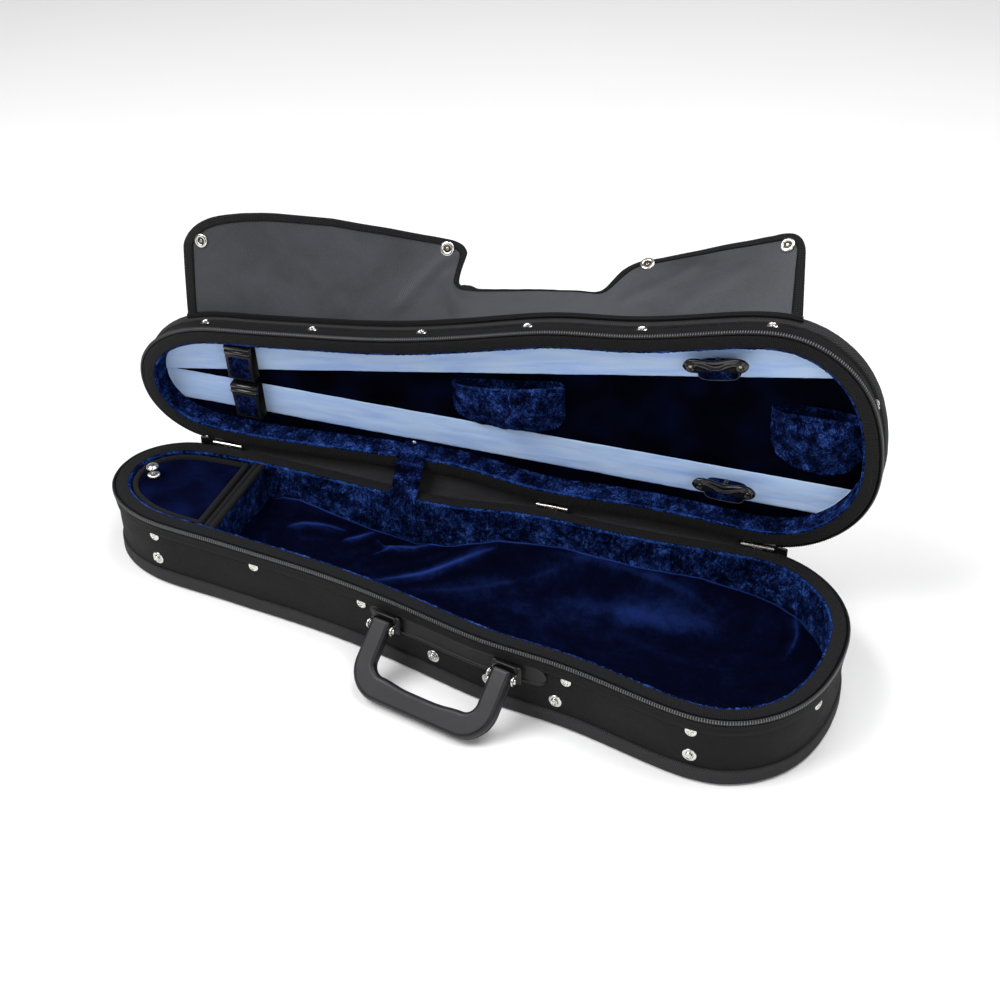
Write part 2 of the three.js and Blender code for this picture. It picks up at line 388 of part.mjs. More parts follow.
// ---- zip sliders, parked at the two ends of the zip ---------------------------------------------------------------------------
[["neck", nearest(-341, 126.3), -1], ["body", nearest(310, 126.9), 1]].forEach(([tag, i, dir]) => {
  const q = dense[i], t = [q.ny, -q.nx]; // along the zip
  const m = new THREE.Matrix4().set(t[0], q.nx, 0, q.x, t[1], q.ny, 0, q.y, 0, 0, 1, 0, 0, 0, 0, 1);
  const body = join(box(-5, 2.4, 75.4, 5, 4.6, 81.4), box(-2.2, 4.4, 77.2, 2.2, 6.4, 79.8));
  add(`zip_slider_${tag}`, body.applyMatrix4(m), 0x1a1a1c, 0.7, 0.4);
});

// ---- rain flap ------------------------------------------------------------------------------------------------------------------
// Height and lean of the standing flap along its seam; the middle tongue is folded down behind.
const lerp = (t, x) => {
  if (x <= t[0][0]) return t[0][1];
  for (let i = 1; i < t.length; i++) if (x <= t[i][0]) return t[i - 1][1] + ((t[i][1] - t[i - 1][1]) * (x - t[i - 1][0])) / (t[i][0] - t[i - 1][0]);
  return t[t.length - 1][1];
};
const LEAN = [[-342, 12], [-300, 13], [-200, 18], [-56, 28], [30, 45], [120, 68], [150, 70], [210, 64], [282, 56], [304, 54]];
const HIGH = [[-342, 80], [-335, 91], [-322, 100.5], [-300, 107], [-278, 110], [-240, 111], [-180, 107], [-120, 98], [-70, 88], [-52, 83.5], [-44, 77], [-38, 60], [-33, 35.5], [-20, 33], [20, 30], [80, 28.5], [106, 31], [111, 36], [117, 54], [124, 68], [134, 77], [146, 80], [160, 81.5], [220, 85], [284, 86.5], [296, 85], [304, 78]];
const seam = (x, d, z) => { const i = frontIndex(x), [px, py] = at(i, d); return onLid(px, py, z); };
const lean = (x) => { const a = (lerp(LEAN, x) * Math.PI) / 180; return [0, Math.sin(a), Math.cos(a)]; };
function sheet(xs, surface, rows, thick) {
  // surface(x, r) gives a point for r from 0 to 1; a negative thickness lies on the front.
  const front = xs.map((x) => Array.from({ length: rows + 1 }, (_, r) => surface(x, r / rows)));
  const nrm = (i, r) => {
    const a = front[Math.max(0, i - 1)][r], b = front[Math.min(xs.length - 1, i + 1)][r], c = front[i][Math.max(0, r - 1)], d = front[i][Math.min(rows, r + 1)];
    const u = new THREE.Vector3(b[0] - a[0], b[1] - a[1], b[2] - a[2]), v = new THREE.Vector3(d[0] - c[0], d[1] - c[1], d[2] - c[2]);
    return v.cross(u).normalize().multiplyScalar(thick).toArray();
  };
  const sections = xs.map((_, i) => {
    const f = front[i], b = f.map((p, r) => { const q = nrm(i, r); return [p[0] + q[0], p[1] + q[1], p[2] + q[2]]; });
    return [...f, ...b.reverse()];
  });
  const m = 2 * (rows + 1), caps = [];
  for (let r = 0; r < rows; r++) caps.push([r, r + 1, m - 2 - r], [r, m - 2 - r, m - 1 - r]);
  return loft(sections, false, caps);
}
const flapX = [-342, -336, -328, -314, -296, -272, -246, -220, -194, -168, -142, -118, -96, -76, -62, -52, -44, -38, -33, -26, 0, 30, 60, 90, 105, 111, 117, 124, 134, 150, 172, 196, 220, 244, 268, 286, 296, 304];
const flapPoint = (x, h) => {
  const s = seam(x, 1.9, FLAP_Z), d = lean(x);
  // the left end flares along the case as it rises, the right end leans in, and the edge of the left part overhangs the notch
  let shift = x < -300 ? (-5 * (h / 100) * (-300 - x)) / 42 : 0;
  if (x > 262) shift += ((2.5 - 14.5 * (h / 85)) * (x - 262)) / 42;
  const up1 = Math.min(1, Math.max(0, (h - 40) / 32));
  shift += Math.exp(-(((x + 44) / 18) ** 2)) * (-6 * Math.min(1, h / 40) + 15 * up1);
  return [s[0] + shift, s[1] + d[1] * h, s[2] + d[2] * h];
};
add("rain_flap", sheet(flapX, (x, r) => flapPoint(x, r * lerp(HIGH, x)), 3, -2), 0x3c3c44);
const tongueX = [-32, -20, 6, 34, 62, 88, 110];
add("rain_flap_tongue", sheet(tongueX, (x, r) => {
  const p = flapPoint(x, Math.min(lerp(HIGH, x), 33) + 0.6 - 24 * r), d = lean(x), b = 2.6 + 7 * r;
  return [p[0], p[1] + d[2] * b, p[2] - d[1] * b];
}, 3, -2), 0x26262a);
const socketProfile = [[0, 0], [7.4, 0], [7.4, 0.8], [6.6, 1.5], [5.6, 1.8], [4.6, 1.7], [3.9, 0.9], [0, 0.8]];
[[-322, 81.5], [-60, 76.5], [141, 73], [282, 75]].forEach(([x, h], k) => {
  const p = flapPoint(x, h), a = flapPoint(x - 4, h), b = flapPoint(x + 4, h), c = flapPoint(x, h - 4);
  const u = new THREE.Vector3(b[0] - a[0], b[1] - a[1], b[2] - a[2]), v = new THREE.Vector3(p[0] - c[0], p[1] - c[1], p[2] - c[2]);
  const n = u.cross(v).normalize();
  const q = [p[0] + n.x * 2.5, p[1] + n.y * 2.5, p[2] + n.z * 2.5];
  add(`snap_socket_${k + 1}`, aim(lathe(socketProfile, 14), q, [n.x, n.y, n.z]), NICKEL, 1, 0.3);
});

export default root;
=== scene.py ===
import math
import bpy, bmesh
import numpy as np
from mathutils import Vector, Matrix


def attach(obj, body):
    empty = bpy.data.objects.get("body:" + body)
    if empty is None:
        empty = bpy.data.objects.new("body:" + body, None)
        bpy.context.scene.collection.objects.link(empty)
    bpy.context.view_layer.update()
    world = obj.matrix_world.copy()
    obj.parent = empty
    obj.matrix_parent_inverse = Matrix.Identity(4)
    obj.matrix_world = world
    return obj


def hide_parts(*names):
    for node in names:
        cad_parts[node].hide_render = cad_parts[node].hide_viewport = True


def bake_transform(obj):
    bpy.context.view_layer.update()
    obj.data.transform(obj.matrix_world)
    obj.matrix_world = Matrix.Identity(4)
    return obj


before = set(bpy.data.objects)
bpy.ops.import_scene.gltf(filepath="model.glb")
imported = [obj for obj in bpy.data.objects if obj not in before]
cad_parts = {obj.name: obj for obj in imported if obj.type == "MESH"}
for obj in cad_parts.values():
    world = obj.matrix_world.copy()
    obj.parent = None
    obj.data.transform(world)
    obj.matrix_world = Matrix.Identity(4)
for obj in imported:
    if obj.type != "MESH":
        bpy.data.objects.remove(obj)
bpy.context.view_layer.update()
# Shaped violin case, lid open. Lengths in this script are mm and are scaled to metres when a mesh is made.

# ---- camera ------------------------------------------------------------------------------------------------------
cam_data = bpy.data.cameras.new("camera")
cam = bpy.data.objects.new("camera", cam_data)
bpy.context.scene.collection.objects.link(cam)
bpy.context.scene.camera = cam
bpy.context.scene.view_settings.view_transform = "Standard"
right, upv, back = (0.94222876, 0.33448539, -0.01801366), (-0.18207071, 0.55654024, 0.8106252), (0.28116761, -0.76051462, 0.58528821)
eye = (0.517136, -1.241223, 1.134754)
cam.matrix_world = Matrix([[right[k], upv[k], back[k], eye[k]] for k in range(3)] + [[0, 0, 0, 1]])
cam_data.sensor_width = 36
cam_data.lens = 1719.38 * 36 / 1000
cam_data.clip_start, cam_data.clip_end = 0.05, 30

# ---- outline -----------------------------------------------------------------------------------------------------
OUT = np.array([[-395.5,35.2],[-400.4,60.8],[-395.3,86.2],[-380.2,107.2],[-358.3,121.4],[-333.7,128.0],[-308.1,129.6],[-282.7,130.1],[-257.3,129.9],[-231.9,128.8],[-206.4,127.2],[-181.0,125.4],[-155.7,123.8],[-130.3,122.2],[-104.9,120.5],[-79.4,118.8],[-53.9,118.0],[-28.6,119.3],[-3.4,122.9],[21.8,127.0],[47.1,129.7],[72.5,130.2],[97.9,129.4],[123.3,127.8],[148.8,126.8],[174.2,126.6],[199.7,127.2],[225.1,128.2],[250.5,129.5],[276.0,130.3],[301.4,128.6],[325.8,121.5],[348.0,108.6],[367.0,91.0],[381.6,69.7],[391.0,46.0],[395.0,20.9],[394.7,-4.9],[391.3,-30.9],[384.6,-56.1],[373.6,-79.4],[357.8,-99.4],[337.2,-115.1],[313.3,-124.8],[288.0,-127.3],[262.5,-124.3],[237.6,-118.9],[213.0,-112.6],[188.3,-106.3],[163.5,-100.7],[138.4,-96.3],[113.1,-93.3],[87.8,-90.5],[62.7,-86.4],[38.0,-80.6],[13.3,-74.0],[-11.2,-67.3],[-35.9,-60.9],[-60.6,-54.9],[-85.5,-49.5],[-110.5,-44.8],[-135.6,-40.8],[-160.8,-37.4],[-186.1,-34.4],[-211.4,-31.4],[-236.6,-28.4],[-261.9,-25.6],[-287.3,-23.1],[-312.6,-19.9],[-337.3,-13.8],[-361.1,-2.7],[-381.5,13.7]])
DENSE = 3600
def catmull(P, m, closed=True):
    n = len(P)
    if closed:
        q = np.arange(m) / m * n
        i = np.floor(q).astype(int); w = (q - i)[:, None]
        p0, p1, p2, p3 = P[(i - 1) % n], P[i % n], P[(i + 1) % n], P[(i + 2) % n]
    else:
        Q = np.vstack([2 * P[0] - P[1], P, 2 * P[-1] - P[-2]])
        q = np.linspace(0, n - 1, m); i = np.minimum(np.floor(q).astype(int), n - 2); w = (q - i)[:, None]
        p0, p1, p2, p3 = Q[i], Q[i + 1], Q[i + 2], Q[i + 3]
    d = lambda a, b: np.sqrt(np.linalg.norm(b - a, axis=1))[:, None]
    d0, d1, d2 = d(p0, p1), d(p1, p2), d(p2, p3)
    t1 = ((p1 - p0) / d0 - (p2 - p0) / (d0 + d1) + (p2 - p1) / d1) * d1
    t2 = ((p2 - p1) / d1 - (p3 - p1) / (d1 + d2) + (p3 - p2) / d2) * d1
    return p1 + t1 * w + (-3 * p1 + 3 * p2 - 2 * t1 - t2) * w ** 2 + (2 * p1 - 2 * p2 + t1 + t2) * w ** 3
_p = catmull(OUT, DENSE)
_t = np.roll(_p, -12, 0) - np.roll(_p, 12, 0)
_t /= np.linalg.norm(_t, axis=1)[:, None]
RX, RY, RNX, RNY = _p[:, 0], _p[:, 1], -_t[:, 1], _t[:, 0]
_seg = np.linalg.norm(np.roll(_p, -1, 0) - _p, axis=1)
RS = np.concatenate([[0], np.cumsum(_seg)])[:-1]
LEN = float(_seg.sum())
def ring(s):
    s = np.mod(s, LEN)
    f = lambda a: np.interp(s, np.append(RS, LEN), np.append(a, a[0]))
    return f(RX), f(RY), f(RNX), f(RNY)
def near_s(x, y):
    return float(RS[np.argmin((RX - x) ** 2 + (RY - y) ** 2)])
_f = np.where(RNY < -0.2)[0]; _f = _f[np.argsort(RX[_f])]
front_s = lambda x: np.interp(x, RX[_f], RS[_f])
_b = np.where(RNY > 0.3)[0]; _b = _b[np.argsort(RX[_b])]
back_s = lambda x: np.interp(x, RX[_b], RS[_b])
def loop(d, n=1800):
    x, y, nx, ny = ring(np.arange(n) * LEN / n)
    return np.stack([x + nx * d, y + ny * d], 1)
HY, HZ, ANG = 132.0, 82.0, math.radians(84.5)
def open_lid(P):
    P = np.array(P, float)
    y, z = P[..., 1] - HY, P[..., 2] - HZ
    Q = P.copy()
    Q[..., 1] = HY + y * math.cos(ANG) + z * math.sin(ANG)
    Q[..., 2] = HZ - y * math.sin(ANG) + z * math.cos(ANG)
    return Q
UPZ = lambda z: 2 * HZ - z

# ---- noise -------------------------------------------------------------------------------------------------------
_r = np.random.RandomState(11)
PERM = np.concatenate([_r.permutation(256)] * 3)
GRAD = _r.normal(size=(256, 3)); GRAD /= np.linalg.norm(GRAD, axis=1)[:, None]
def noise3(x, y, z=0.0, seed=0):
    x, y, z = np.broadcast_arrays(np.asarray(x, float) + seed * 7.31, np.asarray(y, float) + seed * 3.17, np.asarray(z, float) + seed * 5.71)
    i, j, k = (np.floor(a).astype(int) for a in (x, y, z))
    f, g, h = x - i, y - j, z - k
    fade = lambda t: t * t * t * (t * (t * 6 - 15) + 10)
    u, v, w = fade(f), fade(g), fade(h)
    r = 0
    for a in (0, 1):
        for b in (0, 1):
            for c in (0, 1):
                q = GRAD[PERM[PERM[PERM[(i + a) & 255] + ((j + b) & 255)] + ((k + c) & 255)]]
                r = r + (u if a else 1 - u) * (v if b else 1 - v) * (w if c else 1 - w) * (q[..., 0] * (f - a) + q[..., 1] * (g - b) + q[..., 2] * (h - c))
    return r * 1.7
def fbm(x, y, z=0.0, n=3, seed=0):
    r, a = 0, 1.0
    for k in range(n):
        r = r + a * noise3(np.asarray(x) * 2 ** k, np.asarray(y) * 2 ** k, np.asarray(z) * 2 ** k, seed + k)
        a *= 0.5
    return r
def crush(u, v, seed=0):
    """Crumpled pile: 0 in the creases to 1 on the swells; small bent folds, longer up and down than along. Where it
    sets the colour, it paints shade into the creases and sheen onto the swells.
    """
    u, v = np.asarray(u, float), np.asarray(v, float)
    wu, wv = 6 * noise3(u / 17, v / 17, 1, seed), 6 * noise3(u / 17, v / 17, 9, seed)
    a = np.abs(noise3((u + wu) / 7.5, (v + wv) / 13, 0, seed)) * 2.3
    b = np.abs(noise3((u + wu * 1.5 + v * 0.55) / 5.2, (v - wv) / 10, 3, seed + 4)) * 2.3
    c = np.abs(noise3((u - v * 0.45) / 3.6, (v + wu) / 5.5, 5, seed + 8)) * 2.2
    return np.clip(0.42 * np.minimum(a, 1) ** 0.7 + 0.34 * np.minimum(b, 1) ** 0.7 + 0.24 * np.minimum(c, 1), 0, 1)

# ---- materials ---------------------------------------------------------------------------------------------------
class Mat:
    def __init__(s, name, **sock):
        s.m = bpy.data.materials.new(name); s.m.use_nodes = True
        s.t = s.m.node_tree; s.p = s.t.nodes["Principled BSDF"]
        for k, v in sock.items(): s.set(k.replace("_", " "), v)
    def set(s, k, v):
        if hasattr(v, "is_linked"): s.t.links.new(v, s.p.inputs[k])
        else: s.p.inputs[k].default_value = (*v, 1) if isinstance(v, (tuple, list)) and len(v) == 3 and s.p.inputs[k].type == "RGBA" else v
    def n(s, kind, ins=(), out=0, **at):
        q = s.t.nodes.new("ShaderNode" + kind)
        for k, v in at.items(): setattr(q, k, v)
        for k, v in dict(ins).items():
            if hasattr(v, "is_linked"): s.t.links.new(v, q.inputs[k])
            else: q.inputs[k].default_value = (*v, 1) if isinstance(v, (tuple, list)) and len(v) == 3 and q.inputs[k].type == "RGBA" else v
        return q.outputs[out]
    def uv(s): return s.n("UVMap", uv_map="WV")
    def obj(s, k=1000.0): return s.n("VectorMath", {0: s.n("TexCoord", out=3), "Scale": k}, operation="SCALE")
    def sc(s, v, x, y, z=1.0): return s.n("VectorMath", {0: v, 1: (x, y, z)}, operation="MULTIPLY")
    def xyz(s, v):
        q = s.t.nodes.new("ShaderNodeSeparateXYZ"); s.t.links.new(v, q.inputs[0]); return q.outputs
    def math(s, op, a, b=0.0, c=0.0): return s.n("Math", {0: a, 1: b, 2: c}, operation=op)
    def noise(s, v, scale, detail=2.0, rough=0.5, dist=0.0): return s.n("TexNoise", {"Vector": v, "Scale": scale, "Detail": detail, "Roughness": rough, "Distortion": dist})
    def vor(s, v, scale, feature="F1", out=0): return s.n("TexVoronoi", {"Vector": v, "Scale": scale}, out=out, feature=feature)
    def ramp(s, f, stops, ease="LINEAR"):
        q = s.t.nodes.new("ShaderNodeValToRGB"); s.t.links.new(f, q.inputs[0]); q.color_ramp.interpolation = ease
        e = q.color_ramp.elements
        while len(e) < len(stops): e.new(0.5)
        for k, (p, c) in enumerate(stops):
            e[k].position = p; e[k].color = (*c, 1) if isinstance(c, (tuple, list)) else (c, c, c, 1)
        return q.outputs[0]
    def mix(s, f, a, b):
        q = s.t.nodes.new("ShaderNodeMix"); q.data_type = "RGBA"
        for k, v in ((0, f), (6, a), (7, b)):
            if hasattr(v, "is_linked"): s.t.links.new(v, q.inputs[k])
            else: q.inputs[k].default_value = (*v, 1) if isinstance(v, (tuple, list)) else v
        return q.outputs[2]
    def attr(s, name): return s.n("Attribute", out=2, attribute_name=name)
    def bump(s, h, strength=0.5, dist=0.0005, normal=None):
        ins = {"Height": h, "Strength": strength, "Distance": dist}
        if normal is not None: ins["Normal"] = normal
        return s.n("Bump", ins)

def nylon(name, a=(0.0016, 0.0016, 0.0018), b=(0.022, 0.022, 0.024), coords="uv", pitch=1.9, sheen=0.02):
    m = Mat(name, Roughness=0.75, Sheen_Weight=sheen, Sheen_Roughness=0.5, Specular_IOR_Level=0.14)
    v = m.uv() if coords == "uv" else m.obj()
    x = m.xyz(v)
    if coords != "uv":  # seen from below or behind: woven in the plane of the board
        x = [x[0], x[1] if coords == "xy" else x[2]]
    wx = m.math("SINE", m.math("MULTIPLY", x[0], 2 * math.pi / pitch)); wy = m.math("SINE", m.math("MULTIPLY", x[1], 2 * math.pi / pitch))
    w = m.math("MULTIPLY", wx, wy)
    g = m.noise(v, 1.1, 3, 0.65)
    l = m.noise(v, 0.018, 4, 0.6)
    f = m.math("ADD", m.math("MULTIPLY", w, 0.24), m.math("ADD", m.math("MULTIPLY", g, 0.66), m.math("MULTIPLY", l, 0.2)))
    m.set("Base Color", m.ramp(f, [(0.3, a), (0.52, tuple(0.36 * (p + q) for p, q in zip(a, b))), (0.74, b)]))
    m.set("Roughness", m.ramp(l, [(0.35, 0.62), (0.7, 0.82)]))
    m.set("Normal", m.bump(m.math("ADD", w, m.math("MULTIPLY", g, 1.6)), 0.8, 0.0003))
    return m.m
def twill(name, pitch=2.3, half=4.0, a=(0.006, 0.006, 0.007), b=(0.10, 0.10, 0.105)):
    m = Mat(name, Roughness=0.7, Sheen_Weight=0.015, Sheen_Roughness=0.5, Specular_IOR_Level=0.15)
    v = m.uv(); x = m.xyz(v)
    zig = m.math("PINGPONG", x[1], half)
    r = m.math("SINE", m.math("MULTIPLY", m.math("ADD", x[0], m.math("MULTIPLY", zig, 1.1)), 2 * math.pi / pitch))
    t = m.math("SINE", m.math("MULTIPLY", x[1], 2 * math.pi / 1.15))
    h = m.math("ADD", m.math("MULTIPLY", r, 0.6), m.math("MULTIPLY", t, 0.4))
    g = m.noise(v, 0.9, 2)
    f = m.math("ADD", m.math("MULTIPLY", h, 0.34), m.math("ADD", m.math("MULTIPLY", g, 0.45), 0.22))
    m.set("Base Color", m.ramp(f, [(0.25, a), (0.5, tuple(0.3 * q for q in b)), (0.85, b)]))
    m.set("Normal", m.bump(h, 0.9, 0.0005))
    return m.m
def ribs(name, pitch=1.7, a=(0.0025, 0.0025, 0.003), b=(0.019, 0.019, 0.021)):
    m = Mat(name, Roughness=0.66, Sheen_Weight=0.015, Sheen_Roughness=0.5, Specular_IOR_Level=0.15)
    v = m.uv(); x = m.xyz(v)
    h = m.math("SINE", m.math("MULTIPLY", x[0], 2 * math.pi / pitch))
    t = m.math("SINE", m.math("MULTIPLY", x[1], 2 * math.pi / 1.6))
    g = m.noise(v, 0.5, 3, 0.6)
    f = m.math("ADD", m.math("ADD", m.math("MULTIPLY", h, 0.2), m.math("MULTIPLY", t, 0.1)), m.math("ADD", m.math("MULTIPLY", g, 0.5), 0.25))
    m.set("Base Color", m.ramp(f, [(0.3, a), (0.55, tuple(0.5 * (p + q) for p, q in zip(a, b))), (0.85, b)]))
    m.set("Normal", m.bump(m.math("ADD", h, m.math("MULTIPLY", t, 0.5)), 0.85, 0.0005))
    return m.m
def crushed(name, dark=(0.0003, 0.0008, 0.005), mid=(0.0028, 0.009, 0.058), bright=(0.046, 0.118, 0.50), attr=True, scale=1.0):
    m = Mat(name, Roughness=0.85, Sheen_Weight=0.03, Sheen_Roughness=0.35, Sheen_Tint=(0.08, 0.22, 0.9), Specular_IOR_Level=0.03)
    v = m.obj()
    fine = m.noise(v, 0.75 * scale, 4, 0.75, 0.4); big = m.noise(v, 0.055 * scale, 2, 0.55)
    wv = m.n("VectorMath", {0: m.sc(v, 0.17, 0.17, 0.10), 1: m.n("VectorMath", {0: m.n("TexNoise", {"Vector": v, "Scale": 0.11, "Detail": 2.0}, out=1), "Scale": 1.6}, operation="SCALE")}, operation="ADD")
    n1 = m.noise(wv, 1.0 * scale, 4, 0.62, 0.5)
    # thin creases where the noise passes its middle value; in the colour they are painted shade
    fold = m.math("MINIMUM", m.math("MULTIPLY", m.math("ABSOLUTE", m.math("SUBTRACT", n1, 0.5)), 7.5), 1.0)
    n2 = m.noise(wv, 2.3 * scale, 3, 0.6, 0.8)
    tip_ = m.math("MINIMUM", m.math("MULTIPLY", m.math("ABSOLUTE", m.math("SUBTRACT", n2, 0.5)), 8.0), 1.0)
    fold = m.math("ADD", m.math("MULTIPLY", fold, 0.6), m.math("MULTIPLY", tip_, 0.4))
    c = m.attr("crush") if attr else fold
    f = m.math("ADD", m.math("MULTIPLY", c, 0.36), m.math("ADD", m.math("MULTIPLY", fold, 0.36), m.math("ADD", m.math("MULTIPLY", m.math("SUBTRACT", fine, 0.5), 1.25), m.math("MULTIPLY", m.math("SUBTRACT", big, 0.5), 0.95))))
    # colour runs from painted shade in the creases to painted sheen on the swells of the pile, led by the crush
    # attribute
    m.set("Base Color", m.ramp(f, [(0.20, dark), (0.38, mid), (0.55, tuple(0.34 * q for q in bright)), (0.76, bright)]))
    m.set("Normal", m.bump(m.math("ADD", fold, m.math("MULTIPLY", fine, 0.5)), 0.9, 0.0013))
    return m.m
def plush(name, dark=(0.0005, 0.0008, 0.0055), mid=(0.0009, 0.0022, 0.016), bright=(0.0045, 0.013, 0.085), nap=(0.035, 0.035, 0.035), sheen=0.08, contrast=1.0):
    m = Mat(name, Roughness=0.9, Sheen_Weight=sheen, Sheen_Roughness=0.3, Sheen_Tint=(0.05, 0.14, 0.85), Specular_IOR_Level=0.02)
    v = m.obj()
    big = m.noise(m.sc(v, *nap), 0.55, 4, 0.62, 0.8); fine = m.noise(v, 1.9, 3, 0.8); mott = m.noise(v, 0.16, 3, 0.6, 0.5)
    # the crush attribute: painted highlights and shade along the blanket's folds, random tone on the other pads
    c = m.attr("crush")
    f = m.math("ADD", m.math("ADD", m.math("MULTIPLY", m.math("SUBTRACT", big, 0.5), 0.2 * contrast), m.math("MULTIPLY", m.math("SUBTRACT", mott, 0.5), 0.16)), m.math("ADD", m.math("MULTIPLY", m.math("SUBTRACT", fine, 0.5), 0.8), c))
    m.set("Base Color", m.ramp(f, [(0.12, dark), (0.42, mid), (1.0, bright)]))
    m.set("Normal", m.bump(m.math("ADD", fine, m.math("MULTIPLY", big, 1.2)), 0.6, 0.0006))
    return m.m
def satin(name):
    m = Mat(name, Roughness=0.42, Sheen_Weight=0.4, Sheen_Roughness=0.5, Sheen_Tint=(0.55, 0.74, 1.0), Specular_IOR_Level=0.3)
    v = m.uv(); x = m.xyz(v)
    long = m.noise(m.sc(v, 0.012, 0.09), 1.0, 4, 0.6, 0.4); thread = m.noise(m.sc(v, 0.35, 2.2), 1.0, 3, 0.7)
    f = m.math("ADD", m.math("MULTIPLY", long, 0.75), m.math("MULTIPLY", thread, 0.25))
    m.set("Base Color", m.ramp(f, [(0.3, (0.34, 0.51, 0.97)), (0.5, (0.49, 0.67, 1.0)), (0.75, (0.64, 0.79, 1.0))]))
    m.set("Roughness", m.ramp(thread, [(0.3, 0.36), (0.7, 0.55)]))
    m.set("Normal", m.bump(m.math("ADD", thread, m.math("MULTIPLY", long, 3.0)), 0.35, 0.0005))
    return m.m
def moulded(name, a=(0.03, 0.03, 0.034), b=(0.055, 0.055, 0.06), rough=(0.38, 0.56)):
    m = Mat(name, Specular_IOR_Level=0.3)
    v = m.obj()
    cell = m.vor(v, 0.85, "DISTANCE_TO_EDGE"); g = m.noise(v, 1.6, 3, 0.6); l = m.noise(v, 0.03, 4, 0.6)
    m.set("Base Color", m.ramp(m.math("ADD", m.math("MULTIPLY", l, 0.8), m.math("MULTIPLY", g, 0.2)), [(0.3, a), (0.7, b)]))
    m.set("Roughness", m.ramp(l, [(0.3, rough[0]), (0.72, rough[1])]))
    m.set("Normal", m.bump(m.math("ADD", cell, m.math("MULTIPLY", g, 0.4)), 0.35, 0.00025))
    return m.m
def gloss(name, col=(0.006, 0.006, 0.0065)):
    m = Mat(name, Coat_Weight=0.3, Coat_Roughness=0.08)
    v = m.obj(); l = m.noise(v, 0.09, 4, 0.6); g = m.noise(v, 1.2, 4, 0.7)
    m.set("Base Color", m.ramp(l, [(0.3, col), (0.75, tuple(2.2 * q for q in col))]))
    m.set("Roughness", m.ramp(m.math("ADD", m.math("MULTIPLY", l, 0.6), m.math("MULTIPLY", g, 0.4)), [(0.35, 0.14), (0.7, 0.3)]))
    m.set("Normal", m.bump(g, 0.06, 0.0002))
    return m.m
def metal(name, a, b, rough=(0.14, 0.32), scratch=1.0):
    m = Mat(name, Metallic=1.0)
    v = m.obj(); l = m.noise(v, 0.25, 4, 0.6); g = m.noise(m.sc(v, 3.0, 0.35, 0.35), scratch, 3, 0.7)
    f = m.math("ADD", m.math("MULTIPLY", l, 0.55), m.math("MULTIPLY", g, 0.45))
    m.set("Base Color", m.ramp(f, [(0.3, a), (0.7, b)]))
    m.set("Roughness", m.ramp(f, [(0.3, rough[0]), (0.7, rough[1])]))
    m.set("Normal", m.bump(g, 0.08, 0.0001))
    return m.m
def coil_mat(name):
    m = Mat(name, Specular_IOR_Level=0.35)
    v = m.uv(); g = m.noise(v, 0.8, 2); h = m.attr("tooth_glint")
    # colour: painted glints on the turns of the coil, dark between them
    m.set("Base Color", m.ramp(m.math("ADD", m.math("MULTIPLY", h, 0.85), m.math("MULTIPLY", g, 0.15)), [(0.3, (0.0015, 0.0015, 0.0018)), (0.5, (0.012, 0.012, 0.013)), (0.8, (0.17, 0.172, 0.18))]))
    m.set("Roughness", m.ramp(g, [(0.3, 0.24), (0.7, 0.38)]))
    m.set("Normal", m.bump(g, 0.15, 0.0002))
    return m.m
def coated(name, a, b):
    m = Mat(name, Roughness=0.6, Sheen_Weight=0.1)
    v = m.uv(); x = m.xyz(v)
    w = m.math("SINE", m.math("MULTIPLY", m.math("ADD", m.math("MULTIPLY", x[0], 1.0), m.math("MULTIPLY", x[1], 0.8)), 2 * math.pi / 2.6))
    g = m.noise(v, 0.7, 3, 0.6); l = m.noise(m.sc(v, 0.012, 0.025), 1.0, 5, 0.62, 0.5)
    f = m.math("ADD", m.math("MULTIPLY", l, 0.72), m.math("ADD", m.math("MULTIPLY", g, 0.24), m.math("MULTIPLY", w, 0.035)))
    m.set("Base Color", m.ramp(f, [(0.3, a), (0.68, b)]))
    m.set("Roughness", m.ramp(l, [(0.3, 0.5), (0.7, 0.68)]))
    m.set("Normal", m.bump(m.math("ADD", w, m.math("ADD", g, m.math("MULTIPLY", l, 5.0))), 0.35, 0.0003))
    return m.m
NYLON, NYLON_XY = nylon("nylon_cover"), nylon("nylon_board", coords="xy")
GUSSET = nylon("gusset_cloth", a=(0.016, 0.016, 0.018), b=(0.042, 0.042, 0.046), pitch=0.6, sheen=0.06)
TWILL = twill("twill_binding"); RIBS = ribs("ribbed_trim"); TAPE = ribs("zip_tape_weave", 0.9, b=(0.018, 0.018, 0.02))
CRUSH = crushed("crushed_velvet"); PADVEL = crushed("pad_velvet", dark=(0.0003, 0.0006, 0.004), mid=(0.0018, 0.0055, 0.040), bright=(0.022, 0.06, 0.28))
PLUSH = plush("bed_plush", dark=(0.0003, 0.0004, 0.0022), mid=(0.0007, 0.0014, 0.0105), bright=(0.018, 0.046, 0.24), sheen=0.03); PANEL = plush("panel_plush", dark=(0.0003, 0.0004, 0.002), mid=(0.0005, 0.0008, 0.0048), bright=(0.0014, 0.0035, 0.02), sheen=0.02)
BOARDV = plush("board_velvet", dark=(0.0004, 0.0006, 0.004), mid=(0.0008, 0.0016, 0.0125), bright=(0.004, 0.011, 0.07), nap=(0.05, 0.05, 0.05), sheen=0.015, contrast=0.7)
SATIN = satin("satin_ribbon"); GRIP = moulded("moulded_grip", a=(0.006, 0.006, 0.0075), b=(0.013, 0.013, 0.0155), rough=(0.3, 0.5)); GLOSS = gloss("gloss_plastic")
MOUNT = moulded("moulded_mount", a=(0.005, 0.005, 0.0055), b=(0.012, 0.012, 0.0135))
NICKEL = metal("nickel_plate", (0.55, 0.53, 0.49), (0.74, 0.73, 0.70)); BRASS = metal("brass_rivet", (0.42, 0.33, 0.20), (0.62, 0.52, 0.36))
